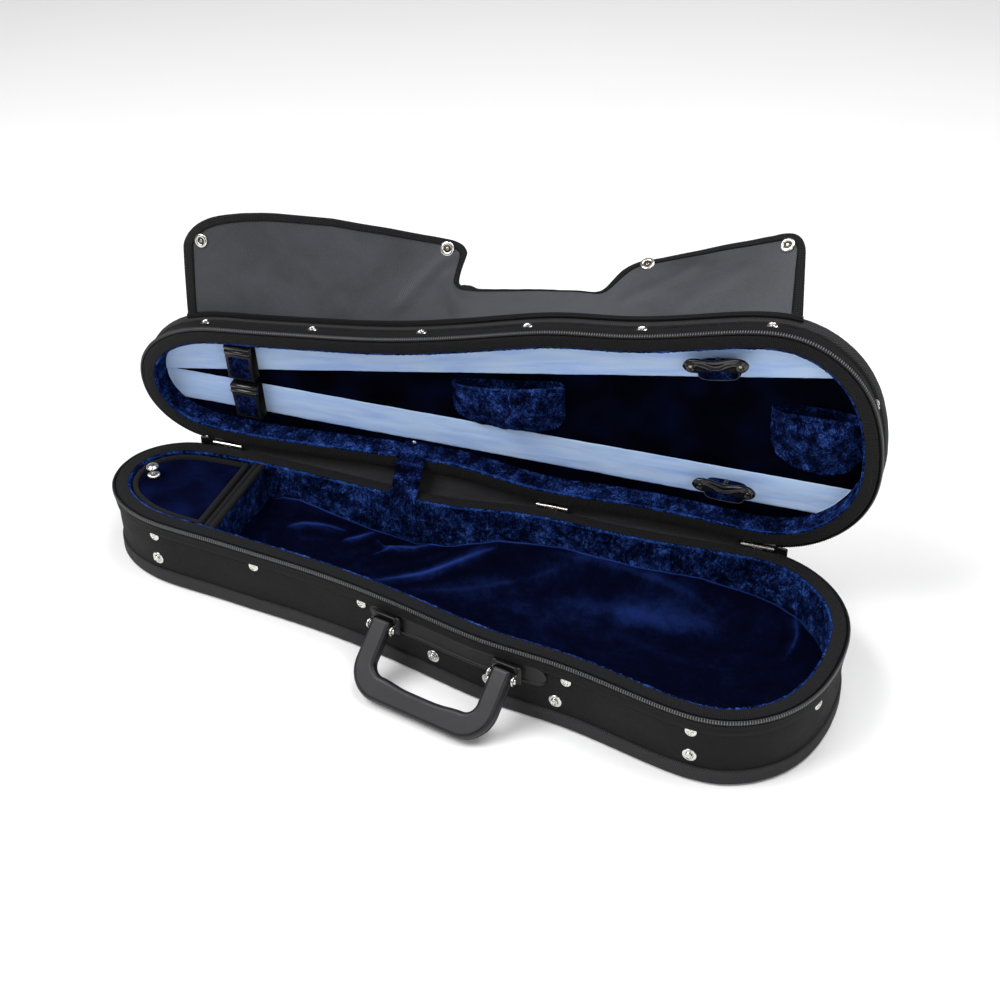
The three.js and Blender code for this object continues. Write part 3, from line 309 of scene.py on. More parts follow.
DARKMETAL = metal("lacquered_zinc", (0.03, 0.03, 0.032), (0.07, 0.07, 0.075), (0.3, 0.5)); COIL = coil_mat("zip_coil")
LININGGREY = coated("flap_lining", (0.013, 0.0135, 0.0175), (0.035, 0.0365, 0.047))
BLACKP = moulded("black_bracket", a=(0.004, 0.004, 0.0045), b=(0.011, 0.011, 0.012), rough=(0.26, 0.45))

# ---- mesh building -----------------------------------------------------------------------------------------------
def make(name, V, F, body, mats, uv=None, mi=None, smooth=True, attrs=None, lid=False, rep=(), slot=None, ride=True):
    V = np.asarray(V, float)
    if lid: V = open_lid(V)
    me = bpy.data.meshes.new(name)
    me.from_pydata((V * 0.001).tolist(), [], F if isinstance(F, list) else F.tolist())
    for m in (mats if isinstance(mats, (list, tuple)) else [mats]): me.materials.append(m)
    if mi is not None: me.polygons.foreach_set("material_index", np.asarray(mi, np.int32))
    if smooth: me.polygons.foreach_set("use_smooth", np.ones(len(me.polygons), bool))
    if uv is not None:
        me.uv_layers.new(name="WV").data.foreach_set("uv", np.asarray(uv, np.float32).ravel())
    for k, a in (attrs or {}).items():
        me.attributes.new(k, "FLOAT", "POINT").data.foreach_set("value", np.asarray(a, np.float32).ravel())
    me.update()
    o = bpy.data.objects.new(name, me)
    bpy.context.scene.collection.objects.link(o)
    if ride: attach(o, body)
    if rep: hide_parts(*rep)
    return o
def grid_faces(n, m, ci, cj):
    i = np.arange(n if ci else n - 1)[:, None]; j = np.arange(m if cj else m - 1)[None, :]
    i2, j2 = (i + 1) % n, (j + 1) % m
    F = np.stack([i * m + j + 0 * i2, i2 * m + j, i2 * m + j2, i * m + j2 + 0 * i2], -1).reshape(-1, 4)
    c = np.stack([np.broadcast_arrays(i, j)[0], np.broadcast_arrays(i, j)[1]], -1).reshape(-1, 2)
    return F, c
def volume(V, F):
    a, b, c, d = V[F[:, 0]], V[F[:, 1]], V[F[:, 2]], V[F[:, 3]]
    return float((np.cross(a, b) * c).sum() + (np.cross(a, c) * d).sum())
def grid(name, P, body, mats, ci=False, cj=True, cap=True, lid=False, mi=None, attrs=None, uvscale=(1, 1), **kw):
    """Quads over an (n, m, 3) array of points; mi(i, j) picks a material."""
    n, m = P.shape[:2]
    Q = open_lid(P) if lid else P
    V = Q.reshape(-1, 3)
    F, c = grid_faces(n, m, ci, cj)
    u = np.concatenate([[0], np.cumsum(np.linalg.norm(np.roll(Q, -1, 0) - Q, axis=2).mean(1))])
    v = np.concatenate([[0], np.cumsum(np.linalg.norm(np.roll(Q, -1, 1) - Q, axis=2).mean(0))])
    uv = np.stack([np.stack([u[c[:, 0] + a] * uvscale[0], v[c[:, 1] + b] * uvscale[1]], -1) for a, b in ((0, 0), (1, 0), (1, 1), (0, 1))], 1)
    idx = np.zeros(len(F), int) if mi is None else mi(c[:, 0], c[:, 1])
    flip = cj and volume(V - V.mean(0), F) < 0
    if flip: F, uv = F[:, ::-1], uv[:, ::-1]
    F = F.tolist(); uv = uv.reshape(-1, 2)
    if cj and not ci and cap:
        for base, rev in ((0, True), ((n - 1) * m, False)):
            f = list(range(base, base + m))
            if rev != flip: f = f[::-1]
            # the first cap runs against the walls: walls go j then i, so the start cap is reversed
            F.append(f); uv = np.vstack([uv, np.zeros((m, 2))]); idx = np.append(idx, idx[0])
    o = make(name, V, F, body, mats, uv=uv, mi=idx if mi is not None else None, attrs=attrs, **kw)
    return o
def rp(poly, r=0.6, step=1.5):
    """A closed profile with its corners rounded and its long edges divided. A third number is that corner's radius."""
    pts = [np.array(p[:2], float) for p in poly]; rad = [p[2] if len(p) > 2 else r for p in poly]; n = len(pts); out = []
    for k in range(n):
        p, a, b = pts[k], pts[k - 1], pts[(k + 1) % n]
        la, lb = np.linalg.norm(a - p), np.linalg.norm(b - p)
        q = min(rad[k], 0.48 * la, 0.48 * lb)
        s, e = p + (a - p) / la * q, p + (b - p) / lb * q
        for t in ((0, 0.33, 0.67, 1) if q > 0.05 else (0.5,)):
            out.append((1 - t) ** 2 * s + 2 * t * (1 - t) * p + t * t * e)
    res = []
    for k in range(len(out)):
        a, b = out[k], out[(k + 1) % len(out)]
        m = max(1, int(round(np.linalg.norm(b - a) / step)))
        for t in range(m): res.append(a + (b - a) * t / m)
    return np.array(res)
def band(name, poly, body, mats, s=None, step=1.5, r=0.6, pitch=2.4, disp=None, crushed_at=None, lid=False, mi=None, **kw):
    pr = rp(poly, r, step)
    t = np.roll(pr, -1, 0) - np.roll(pr, 1, 0)
    nr = np.stack([t[:, 1], -t[:, 0]], 1); nr /= np.linalg.norm(nr, axis=1)[:, None] + 1e-9
    area = (pr[:, 0] * np.roll(pr[:, 1], -1) - np.roll(pr[:, 0], -1) * pr[:, 1]).sum()
    if area < 0: nr = -nr
    ci = s is None
    S = np.arange(int(LEN / pitch)) * LEN / int(LEN / pitch) if ci else np.linspace(s[0], s[1], max(2, int(abs(s[1] - s[0]) / pitch)))
    D, Z = np.broadcast_to(pr[:, 0], (len(S), len(pr))).copy(), np.broadcast_to(pr[:, 1], (len(S), len(pr))).copy()
    at = {}
    if disp:
        h = disp(S[:, None], pr[None, :, 0], pr[None, :, 1])
        if isinstance(h, tuple): h, c = h; at["crush"] = np.broadcast_to(c, D.shape)
        D += h * nr[:, 0]; Z += h * nr[:, 1]
    x, y, nx, ny = (a[:, None] for a in ring(S))
    P = np.stack([x + nx * D, y + ny * D, Z], -1)
    m2 = None if mi is None else (lambda i, j: mi(pr[j, 0], pr[j, 1]))
    return grid(name, P, body, mats, ci=ci, lid=lid, attrs=at or None, mi=m2, **kw)
def puff(P, pins, pressure, slack, cap, bend=0.15, frames=20):
    """Cloth over a grid of points (n, m, 3), in mm: held where pins is 1, filled from behind, cut larger than its place by slack."""
    n, m = P.shape[:2]; F, _ = grid_faces(n, m, False, False)
    me = bpy.data.meshes.new("puff"); me.from_pydata((P.reshape(-1, 3) * 0.001).tolist(), [], F[:, ::-1].tolist()); me.update()
    o = bpy.data.objects.new("puff", me); sc = bpy.context.scene; sc.collection.objects.link(o)
    vg = o.vertex_groups.new(name="pin"); w = np.broadcast_to(pins, (n, m)).ravel()
    for k in np.where(w > 0)[0]: vg.add([int(k)], float(w[k]), "REPLACE")
    md = o.modifiers.new("cloth", "CLOTH"); c = md.settings
    c.quality, c.mass, c.tension_stiffness, c.compression_stiffness, c.shear_stiffness, c.bending_stiffness = 6, 0.15, 12, 12, 4, bend
    c.vertex_group_mass = "pin"; c.use_pressure = True; c.uniform_pressure_force = pressure; c.shrink_min = -slack; c.effector_weights.gravity = 0
    md.collision_settings.use_collision = False; md.point_cache.frame_start, md.point_cache.frame_end = 1, frames
    for f in range(1, frames + 1): sc.frame_set(f)
    ev = o.evaluated_get(bpy.context.evaluated_depsgraph_get()); q = ev.to_mesh(); Q = np.empty(n * m * 3, np.float32); q.vertices.foreach_get("co", Q); ev.to_mesh_clear()
    Q = Q.astype(float).reshape(n, m, 3) * 1000
    bpy.data.objects.remove(o); bpy.data.meshes.remove(me); sc.frame_set(1)
    if not np.isfinite(Q).all(): return P
    d = Q - P; l = np.linalg.norm(d, axis=2, keepdims=True)
    print("PUFF", n, m, "moved mean %.2f max %.2f mm" % (l.mean(), l.max()))
    return P + d * np.minimum(1, cap / np.maximum(l, 1e-6))
class Soup:
    def __init__(s): s.V, s.F, s.mi = [], [], []
    def add(s, V, F, mi=0):
        o = len(s.V); s.V += [list(map(float, v)) for v in V]; s.F += [[q + o for q in f] for f in F]; s.mi += [mi] * len(F)
    def obj(s, name, body, mats, **kw): return make(name, s.V, s.F, body, mats, mi=s.mi, **kw)
def frame_at(p, axis, ref=(0.3, 0.2, 1)):
    a = Vector(axis).normalized(); u = a.cross(Vector(ref)); u = (a.cross(Vector((1, 0, 0))) if u.length < 1e-3 else u).normalized(); w = a.cross(u)
    return np.array([list(u), list(w), list(a)]).T, np.array(p, float)
def lathe(prof, p, axis, n=40, mod=None, ref=(0.3, 0.2, 1)):
    """prof is (r, z) from the axis to the axis; mod(k, theta) gives (dr, dz)."""
    R, o = frame_at(p, axis, ref); V, F = [], []
    th = np.arange(n) * 2 * math.pi / n
    inner = [q for q in range(len(prof)) if prof[q][0] > 1e-6]
    for k in inner:
        r, z = prof[k]
        dr, dz = mod(r, z, th) if mod else (0, 0)
        V += list(np.stack([(r + dr) * np.cos(th), (r + dr) * np.sin(th), z + dz + 0 * th], 1))
    m = len(inner)
    for a in range(m - 1):
        for b in range(n): F.append([a * n + b, a * n + (b + 1) % n, (a + 1) * n + (b + 1) % n, (a + 1) * n + b])
    V.append([0, 0, prof[0][1]]); V.append([0, 0, prof[-1][1]])
    for b in range(n):
        F.append([m * n, (b + 1) % n, b]); F.append([m * n + 1, (m - 1) * n + b, (m - 1) * n + (b + 1) % n])
    V = np.array(V)
    v = sum(np.dot(np.cross(V[f[0]], V[f[1]]), V[f[2]]) for f in F)
    if v < 0: F = [f[::-1] for f in F]
    return V @ R.T + o, F
def rbox(c, size, r=0.6, seg=2, R=None):
    bm = bmesh.new(); bmesh.ops.create_cube(bm, size=1)
    for v in bm.verts: v.co = Vector((v.co.x * size[0], v.co.y * size[1], v.co.z * size[2]))
    bmesh.ops.bevel(bm, geom=bm.edges[:], offset=min(r, 0.45 * min(size)), segments=seg, affect="EDGES", profile=0.5)
    bm.verts.ensure_lookup_table()
    V = np.array([v.co for v in bm.verts]); F = [[v.index for v in f.verts] for f in bm.faces]; bm.free()
    if R is not None: V = V @ np.array(R).T
    return V + np.array(c, float), F

# ---- base: outside -----------------------------------------------------------------------------------------------
def pucker(S, D, Z, lo, hi, amp=0.45):
    e = np.exp(-np.abs(Z - lo) / 7) + np.exp(-np.abs(hi - Z) / 7)
    return amp * e * (0.6 * noise3(S / 9, Z / 30, 1) + 0.4 * noise3(S / 4.2, Z / 30, 2)) + 0.5 * fbm(S / 70, Z / 40, 5, 2)
outer = lambda D: D > -3.4
band("base_cloth", [(-3.9, 15), (-3.9, 72), (-2.6, 72), (-2.1, 44), (-2.6, 15)], "base", NYLON, pitch=2.4, step=2.2,
     disp=lambda S, D, Z: np.where(D > -3.4, pucker(S, D, Z, 17, 68), 0), rep=["base_cover"], slot="black_nylon")
band("base_bottom_tape", [(-3.2, 0.4, .5), (-3.2, 17.2, .3), (-1.3, 17.4, .5), (-0.5, 16.4, .8), (-0.3, 9), (-0.4, 2.2, 1.5), (-2.2, 0.3, 1)], "base", TWILL, pitch=1.8, step=1.1,
     disp=lambda S, D, Z: np.where(D > -2.4, 0.16 * noise3(S / 11, Z / 9, 3) + 0.10 * noise3(S / 3, Z / 4, 4), 0), rep=["base_bottom_binding"], slot="binding_tape")
Z0, Z1 = near_s(305, 128), near_s(-336, 127.5)
if Z1 < Z0: Z1 += LEN
ZS = (Z0, Z1)
def zip_side(tag, body, lid):
    u = (lambda z: UPZ(z)) if lid else (lambda z: z)
    L = lambda poly: [(p[0], u(p[1]), *p[2:]) for p in poly]
    band(f"{tag}_tape_fold", L([(-2.7, 66.6 if lid else 61.6, .2), (-2.7, 75.4, .3), (0.2, 75.6, .5), (0.9, 74.2, .8), (0.8, 71.3, .8), (0.0, 70.6, .6), (0.15, 69 if lid else 66, .8), (-0.3, 67.1 if lid else 62.2, .8), (-1.6, 66.4 if lid else 61.5, .4)]), body, TAPE, s=ZS, pitch=2.0, step=0.9,
         disp=lambda S, D, Z: np.where(D > -1.2, 0.12 * noise3(S / 8, Z / 6, 6 + lid), 0), lid=lid, rep=[f"{tag}_zip_tape"], slot="binding_tape")
    # coil: each turn is a small rib over the edge of the tape
    pr = rp(L([(-1.4, 75.9, .3), (-1.4, 80.7, .3), (0.9, 80.9, .9), (1.9, 79.8, .9), (1.9, 77, .9), (0.9, 75.9, .9)]), 0.6, 0.8)
    pitch = 2.5; n = int((ZS[1] - ZS[0]) / (pitch / 7)); S = np.linspace(ZS[0], ZS[1], n)
    ph = (S - ZS[0]) / pitch * 2 * math.pi
    c = np.array([pr[:, 0].mean(), pr[:, 1].mean()])
    k = (0.82 + 0.24 * np.clip(np.sin(ph), -0.6, 1))[:, None]; out = np.clip((pr[:, 0] - 0.2) / 1.4, 0, 1) * np.clip(1.15 - np.abs(pr[:, 1] - c[1] - (1.1 if not lid else -1.1)) / 3.2, 0, 1)
    # painted glint on the crest of each turn, strongest where the turn faces out, with painted shade in the gaps
    # between the turns
    tooth_glint = 0.1 + 0.9 * np.clip(np.sin(ph - 0.4) * 2.2 - 0.6, 0, 1)[:, None] * (0.35 + 0.65 * out[None, :])
    lean = 0.35 * np.sin(ph)[:, None]
    D = c[0] + (pr[None, :, 0] - c[0]) * k; Z = c[1] + (pr[None, :, 1] - c[1]) * (0.93 + 0.07 * k)
    x, y, nx, ny = (a[:, None] for a in ring(S + 0 * S))
    P = np.stack([x + nx * D, y + ny * D, Z], -1)
    grid(f"{tag}_coil", P, body, COIL, lid=lid, attrs={"tooth_glint": tooth_glint}, rep=[f"{tag}_zip_coil"], slot="zip_coil")
zip_side("base", "base", False)
def rim(tag, body, lid):
    u = (lambda z: UPZ(z)) if lid else (lambda z: z)
    band(f"{tag}_rim", [(p[0], u(p[1]), *p[2:]) for p in [(-15.2, 77.9, .4), (-15.2, 81.0, .8), (-8, 81.75), (-2.9, 81.6, .8), (-2.1, 80.6, .6), (-2.2, 77.8, .3)]], body, RIBS, pitch=2.0, step=1.0, lid=lid,
         disp=lambda S, D, Z: np.where(np.abs(D + 8.4) < 6.1, 0.14 * noise3(S / 12, D / 5, 7 + lid) - 0.3 * np.exp(-((D + 4.3) / 0.45) ** 2) - 0.25 * np.exp(-((D + 12.9) / 0.5) ** 2), 0), rep=[f"{tag}_rim_trim"], slot="binding_tape")
rim("base", "base", False)

# ---- base: inside ------------------------------------------------------------------------------------------------
def lining_disp(seed, zref, amp=2.0):
    def f(S, D, Z):
        c = crush(S, Z, seed)
        tall = 0.5 * (noise3(S / 46, Z / 60, 2, seed) + 1)
        inner = np.clip((-15.6 - D) / 1.0, 0, 1)
        # the second value is the colour attribute: painted shade in the creases and painted sheen on the swells
        return inner * (amp * (c - 0.5) * 0.9 + 0.9 * tall - 0.2), np.where(D < -15.2, c, 0.5)
    return f
band("base_wall_velvet", [(-12.8, 6.4, .3), (-12.8, 77.3, .2), (-15.3, 77.4, .2), (-15.3, 80.6, .8), (-16.7, 80.5, .8), (-17.0, 78, 1), (-17.0, 6.4, .3)], "base", CRUSH, pitch=1.5, step=1.35,
     disp=lining_disp(0, 44), rep=["base_wall_lining"], slot="crushed_velvet")
# fuzzy edge of the lining, just inside the rim, in a brighter copy of the crushed velvet: painted sheen where the
# rolled pile catches the light
band("base_lining_roll", [(-15.35, 77.9, .6), (-15.35, 80.8, .8), (-17.5, 80.3, .9), (-17.5, 77.9, .8)], "base", crushed("velvet_edge", dark=(0.004, 0.016, 0.09), mid=(0.012, 0.05, 0.27), bright=(0.05, 0.16, 0.55)), pitch=1.0, step=0.7,
     disp=lambda S, D, Z: (0.35 * noise3(S / 3.2, Z / 3, 8) + 0.3 * noise3(S / 9, Z / 5, 9), crush(S * 1.2, Z * 2, 21)), slot="crushed_velvet")

INNER = loop(-17.35, 3600)
def cross_y(x, poly):
    """Lowest and highest y where the loop crosses each x."""
    a, b = poly, np.roll(poly, -1, 0)
    lo, hi = np.full(len(x), 1e9), np.full(len(x), -1e9)
    for k, q in enumerate(x):
        h = np.where((a[:, 0] - q) * (b[:, 0] - q) <= 0)[0]
        if len(h) == 0: continue
        t = (q - a[h, 0]) / (b[h, 0] - a[h, 0] + 1e-12)
        y = a[h, 1] + t * (b[h, 1] - a[h, 1]); lo[k], hi[k] = y.min(), y.max()
    return lo, hi
EDGE_X = [-255, -250, -235, -213, -190, -155, -122, -97, -74, -30, 17, 83, 127, 170, 233, 295, 340, 380]
EDGE_Z = [30, 34, 41, 43.5, 38, 32, 27, 26, 24, 31, 42, 46, 44, 43, 46, 34, 30, 27]
# folds of the blanket: line, half width, height, strength of the painted highlight where the brushed nap catches the
# light
FOLDS = [([(-98, 30), (-53, 56), (-18, 82), (19, 102)], 5.0, 3.2, 0.40), ([(-86, 46), (-50, 70), (-10, 96), (30, 112)], 10, 1.6, 0.07),
         ([(-216, 76), (-200, 84), (-175, 89), (-147, 90)], 4.0, 2.6, 0.34), ([(-152, 78), (-137, 87), (-121, 101)], 3.6, 2.2, 0.34),
         ([(-114, 68), (-97, 83), (-72, 92), (-46, 104)], 4.5, 2.6, 0.34), ([(-120, 92), (-104, 84), (-84, 82)], 3.5, 1.8, 0.22),
         ([(-60, 30), (0, 50), (60, 80), (104, 100)], 9, 2.0, 0.08), ([(60, 104), (120, 106), (200, 99), (262, 84)], 11, 2.8, 0.16),
         ([(332, 100), (340, 74), (334, 44)], 5, 2.6, 0.22), ([(300, -74), (332, -62), (352, -36)], 5, 2.4, 0.26), ([(-30, 10), (40, -10), (110, -30)], 9, 1.6, 0.05),
         ([(150, 40), (220, 20), (290, 16)], 16, 2.0, 0.06), ([(-236, 60), (-222, 40), (-190, 26)], 7, 1.8, 0.10)]
def fold_line(X, Y, pts):
    """Distance to a bent line, and 0 at its ends rising to 1 along it."""
    P = catmull(np.array(pts, float), 28, closed=False); d = np.full(X.shape, 1e9); U = np.zeros(X.shape)
    for k in range(len(P) - 1):
        a, ab = P[k], P[k + 1] - P[k]
        t = np.clip(((X - a[0]) * ab[0] + (Y - a[1]) * ab[1]) / (ab @ ab), 0, 1)
        q = np.hypot(X - a[0] - t * ab[0], Y - a[1] - t * ab[1]); near = q < d
        d = np.where(near, q, d); U = np.where(near, (k + t) / (len(P) - 1), U)
    return d, np.sin(np.clip(U, 0.002, 0.998) * math.pi) ** 0.6
def bed_width(X): return np.interp(X, [-255, -60, 90, 200, 380], [112, 134, 170, 205, 190])
def bed_height(X, Y, T):
    """T runs from 0 at the front wall to 1 at the back wall."""
    eb = np.interp(X, EDGE_X, EDGE_Z); ef = np.interp(X, [-255, -200, -60, 120, 300, 380], [17, 22, 26, 34, 36, 28])
    w = bed_width(X); db, df = (1 - T) * w, T * w
    de = np.maximum(378 - X, 0)
    well = np.interp(X, [-255, -180, -60, 60, 150, 330, 380], [25, 22, 17, 13, 11, 12, 16])
    z = well + (eb - well) * np.exp(-(db / 30) ** 1.5) + (ef - well) * np.exp(-(df / 24) ** 1.5)
    z = z + (26 - well) * np.exp(-(de / 26) ** 1.5) * (1 - np.exp(-(np.minimum(db, df) / 20) ** 2))
    z = z + 19 * np.exp(-((X + 255) / 24) ** 2) * np.clip(1.05 - T, 0, 1) * (1 - np.exp(-(df / 16) ** 2))
    for pts, wd, up, lit in FOLDS:
        d, e = fold_line(X, Y, pts); z = z + up * e * (np.exp(-(d / wd) ** 2) - 0.35 * np.exp(-((d - 2 * wd) / wd) ** 2))
    return z + 1.5 * fbm(X / 64, Y / 46, 3, 3) + 0.35 * noise3(X / 13, Y / 11, 5)
xs = np.concatenate([np.linspace(-254.6, 330, 440), 377.2 - 47.2 * np.cos(np.linspace(0.02, math.pi / 2 - 0.03, 60))])
ylo, yhi = cross_y(xs, INNER)
def slab(name, xs, ylo, yhi, top, under, body, mats, m=120, k=4, **kw):
    """A closed pad between two edges: top(X, Y, T) above, under(X, Y, T) below."""
    t = 0.5 - 0.5 * np.cos(np.linspace(0, math.pi, m)); t = 0.35 * t + 0.65 * np.linspace(0, 1, m)
    X = np.broadcast_to(xs[:, None], (len(xs), m)); Y = ylo[:, None] + (yhi - ylo)[:, None] * t[None, :]; T = np.broadcast_to(t, X.shape)
    A = np.stack([X, Y, top(X, Y, T)], -1)
    tb = np.linspace(1, 0, k); Xb = np.broadcast_to(xs[:, None], (len(xs), k)); Yb = ylo[:, None] + (yhi - ylo)[:, None] * tb[None, :]
    B = np.stack([Xb, Yb, under(Xb, Yb, np.broadcast_to(tb, Xb.shape))], -1)
    P = np.concatenate([A, B], 1)
    cr = kw.pop("crush_fn", None); at = None
    if cr is not None: at = {"crush": np.concatenate([cr(X, Y, T), np.full(Xb.shape, 0.4)], 1)}
    return grid(name, P, body, mats, attrs=at, **kw)
def bed_painted_light(X, Y, T):
    # painted highlights along the folds, at the hem and on the slope under the back wall, where the brushed nap catches
    # the light, with painted shade beside each fold
    w = bed_width(X); db = (1 - T) * w
    c = 0.35 + 0.05 * fbm(X / 30, Y / 20, 7, 3)
    for pts, wd, up, lit in FOLDS:
        d, e = fold_line(X, Y, pts); c = c + lit * e * (0.75 * np.exp(-(d / (0.34 * wd)) ** 2) + 0.4 * np.exp(-(d / (1.5 * wd)) ** 2)) - 0.3 * lit * e * np.exp(-((d - 2.2 * wd) / wd) ** 2)
    # painted sheen patches on the lit slopes under the back wall
    c = c + 0.30 * np.exp(-((X - 196) / 62) ** 2 - ((db - 40) / 17) ** 2) + 0.10 * np.exp(-((X - 90) / 60) ** 2 - ((db - 60) / 26) ** 2) + 0.08 * np.exp(-((X + 20) / 40) ** 2 - ((db - 50) / 18) ** 2)
    # painted highlight along the hem
    c = c + 0.42 * np.exp(-((db - 1.2) / 0.9) ** 2) * (X > -246)
    return np.clip(c, 0.05, 1)
bed = slab("bed_blanket", xs, ylo, yhi, bed_height, lambda X, Y, T: 0 * X + 6.5, "base", PLUSH, m=190, crush_fn=bed_painted_light, rep=["base_bed", "violin_blanket"], slot="navy_plush")

# ---- small-parts compartment -------------------------------------------------------------------------------------
def wall_piece(name, x0, x1, z0, z1, d, body, mats, disp=None, step=1.6, r=0.8, lid=False, pitch=1.6, section=None, **kw):
    """A wall across the case between the linings, its section drawn in the XZ plane."""
    pr = rp(section or [(x0, z0), (x0, z1), (x1, z1), (x1, z0)], r, step)
    poly = loop(d, 3600)
    lo, hi = cross_y(pr[:, 0], poly)
    n = int((hi.max() - lo.min()) / pitch); t = np.linspace(0, 1, n)
    Y = lo[None, :] + (hi - lo)[None, :] * t[:, None]
    c = pr.mean(0); v = pr - c; v /= np.linalg.norm(v, axis=1)[:, None]
    h = np.zeros(Y.shape); at = None
    if disp:
        h = disp(Y, pr[None, :, 0], pr[None, :, 1])
        if isinstance(h, tuple): at = {"crush": np.broadcast_to(h[1], Y.shape)}; h = h[0]
    P = np.stack([pr[None, :, 0] + h * np.sign(v[None, :, 0]) * (np.abs(v[None, :, 0]) > 0.05), Y, pr[None, :, 1] + 0 * Y], -1)
    return grid(name, P, body, mats, attrs=at, lid=lid, **kw)
def wall_crush(Y, X, Z):
    c = crush(Y * 1.0, Z, 13)
    return np.where(X > -256.5, 1.5 * (c - 0.5), np.where(X < -265, 0.5 * (c - 0.5), 0)), c
wall_piece("partition_velvet", -265.6, -256.2, 6.5, 73.7, -17.4, "base", CRUSH, disp=wall_crush, rep=["compartment_partition"], slot="crushed_velvet")
wall_piece("partition_trim", -267.6, -255.2, 73.9, 78.7, -17.6, "base", RIBS, r=1.2, step=0.7, section=[(-267.6, 73.9, .5), (-267.6, 77.4, 1.2), (-265.9, 79.6, 1.6), (-263.6, 79.4, 1.4), (-261.7, 76.9, 1), (-259.6, 79.4, 1.4), (-257.0, 79.4, 1.6), (-255.2, 77.2, 1.2), (-255.2, 73.9, .5)], rep=["compartment_partition_trim"], slot="binding_tape")
def clip_loop(d, xmax, n=3600, r=0):
    """The part of a loop on the neck side of a straight line, starting and ending on it."""
    p = loop(d, n); keep = p[:, 0] <= xmax
    k = np.where(keep & ~np.roll(keep, 1))[0][0]
    q = np.roll(p, -k, 0); q = q[: np.argmin(np.roll(keep, -k))] if not keep.all() else q
    return q
def closed_path(d, xmax, pitch=1.6, rad=9):
    q = clip_loop(d, xmax); q = np.vstack([q, q[:1]])
    q = resample(q, pitch)
    # soften the two corners
    for _ in range(rad): q = 0.5 * q + 0.25 * (np.roll(q, 1, 0) + np.roll(q, -1, 0))
    return q
def resample(q, pitch):
    s = np.concatenate([[0], np.cumsum(np.linalg.norm(np.diff(q, axis=0), axis=1))]); n = int(s[-1] / pitch)
    t = np.arange(n) * s[-1] / n
    return np.stack([np.interp(t, s, q[:, k]) for k in range(q.shape[1])], 1)
def tube_on(name, path, poly, body, mats, step=0.9, r=0.8, disp=None, lid=False, closed=True, **kw):
    """A profile of (out, z) carried along a path in the XY plane; out is to the left of a clockwise path."""
    pr = rp(poly, r, step)
    t = np.roll(path, -2, 0) - np.roll(path, 2, 0) if closed else np.gradient(path, axis=0)
    t /= np.linalg.norm(t, axis=1)[:, None]; nn = np.stack([-t[:, 1], t[:, 0]], 1)
    P = np.stack([path[:, None, 0] + nn[:, None, 0] * pr[None, :, 0], path[:, None, 1] + nn[:, None, 1] * pr[None, :, 0], pr[None, :, 1] + 0 * path[:, None, 0]], -1)
    if disp is not None:
        s = np.arange(len(path))[:, None] * 1.6
        P[..., 2] += disp(s, pr[None, :, 0], pr[None, :, 1])
    return grid(name, P, body, mats, ci=closed, lid=lid, **kw)
cp = closed_path(-18.8, -270.6, rad=5)
tube_on("compartment_lid_tape", cp, [(-7.0, 72.2, .5), (-7.0, 77.3, 1.2), (-5.2, 79.2, 1.4), (-2.6, 79.3, 1.4), (-0.6, 77.6, 1.2), (-0.2, 72.2, .5)], "compartment_lid", RIBS,
        disp=lambda s, d, z: np.where(z > 75, 0.12 * noise3(s / 7, d / 3, 5), 0), rep=["compartment_lid_binding"], slot="binding_tape")
q = closed_path(-18.8 - 6.8, -270.6 - 6.9, rad=5)
def fan_pad(name, edge, ztop, zbot, body, mats, rings=26, crown=0.8, lid=False, crush_fn=None, disp=None, **kw):
    """A pad filling a closed edge: rings shrink towards the middle, crowned on top."""
    c = edge.mean(0); m = len(edge); V, at = [], []
    ts = np.linspace(0, 1, rings + 1)[:-1]
    for sgn in (1, -1):
        for k, t in enumerate(ts if sgn > 0 else ts[1::6]):
            e = c + (edge - c) * (1 - t)
            z = ztop - 1.1 * np.exp(-t * 26) + crown * (1 - (1 - t) ** 4) if sgn > 0 else zbot + 0 * t
            V.append(np.column_stack([e, np.full(m, z) + (disp(e[:, 0], e[:, 1], t) if disp is not None and sgn > 0 else 0)]))
    top = V[:rings]; bot = V[rings:]; bot.insert(0, np.column_stack([edge, np.full(m, zbot)]))
    rows = top[::-1] + bot
    A = np.concatenate(rows); n = len(rows); F = []
    for a in range(n - 1):
        for b in range(m): F.append([a * m + b, a * m + (b + 1) % m, (a + 1) * m + (b + 1) % m, (a + 1) * m + b])
    ct = np.array([[c[0], c[1], top[-1][:, 2].mean()], [c[0], c[1], zbot]]); A = np.vstack([A, ct]); N = len(A)
    for b in range(m):
        F.append([N - 2, (b + 1) % m, b]); F.append([N - 1, (n - 1) * m + b, (n - 1) * m + (b + 1) % m])
    v = sum(float(np.dot(np.cross(A[f[0]] - A[0], A[f[1]] - A[0]), A[f[2]] - A[0])) for f in F[:: max(1, len(F) // 4000)])
    vol = 0.0
    for f in F:
        p0 = A[f[0]]
        for k in range(1, len(f) - 1): vol += float(np.dot(p0, np.cross(A[f[k]], A[f[k + 1]])))
    if vol < 0: F = [f[::-1] for f in F]
    attrs = {"crush": crush_fn(A[:, 0], A[:, 1]) if crush_fn is not None else np.full(N, 0.45)}
    uv = np.array([[A[i][0], A[i][1]] for f in F for i in f])
    return make(name, A, F, body, mats, uv=uv, attrs=attrs, lid=lid, **kw)
board = fan_pad("compartment_lid_velvet", q, 76.6, 72.4, "compartment_lid", BOARDV, crown=0.5, crush_fn=lambda x, y: np.clip(0.44 + 0.16 * fbm(x / 34, y / 30, 3, 3), 0, 1),
                disp=lambda x, y, t: 0.25 * noise3(x / 14, y / 20, 2), rep=["compartment_lid_board"], slot="navy_plush")
fl = closed_path(-18.4, -268.4, pitch=3, rad=3)
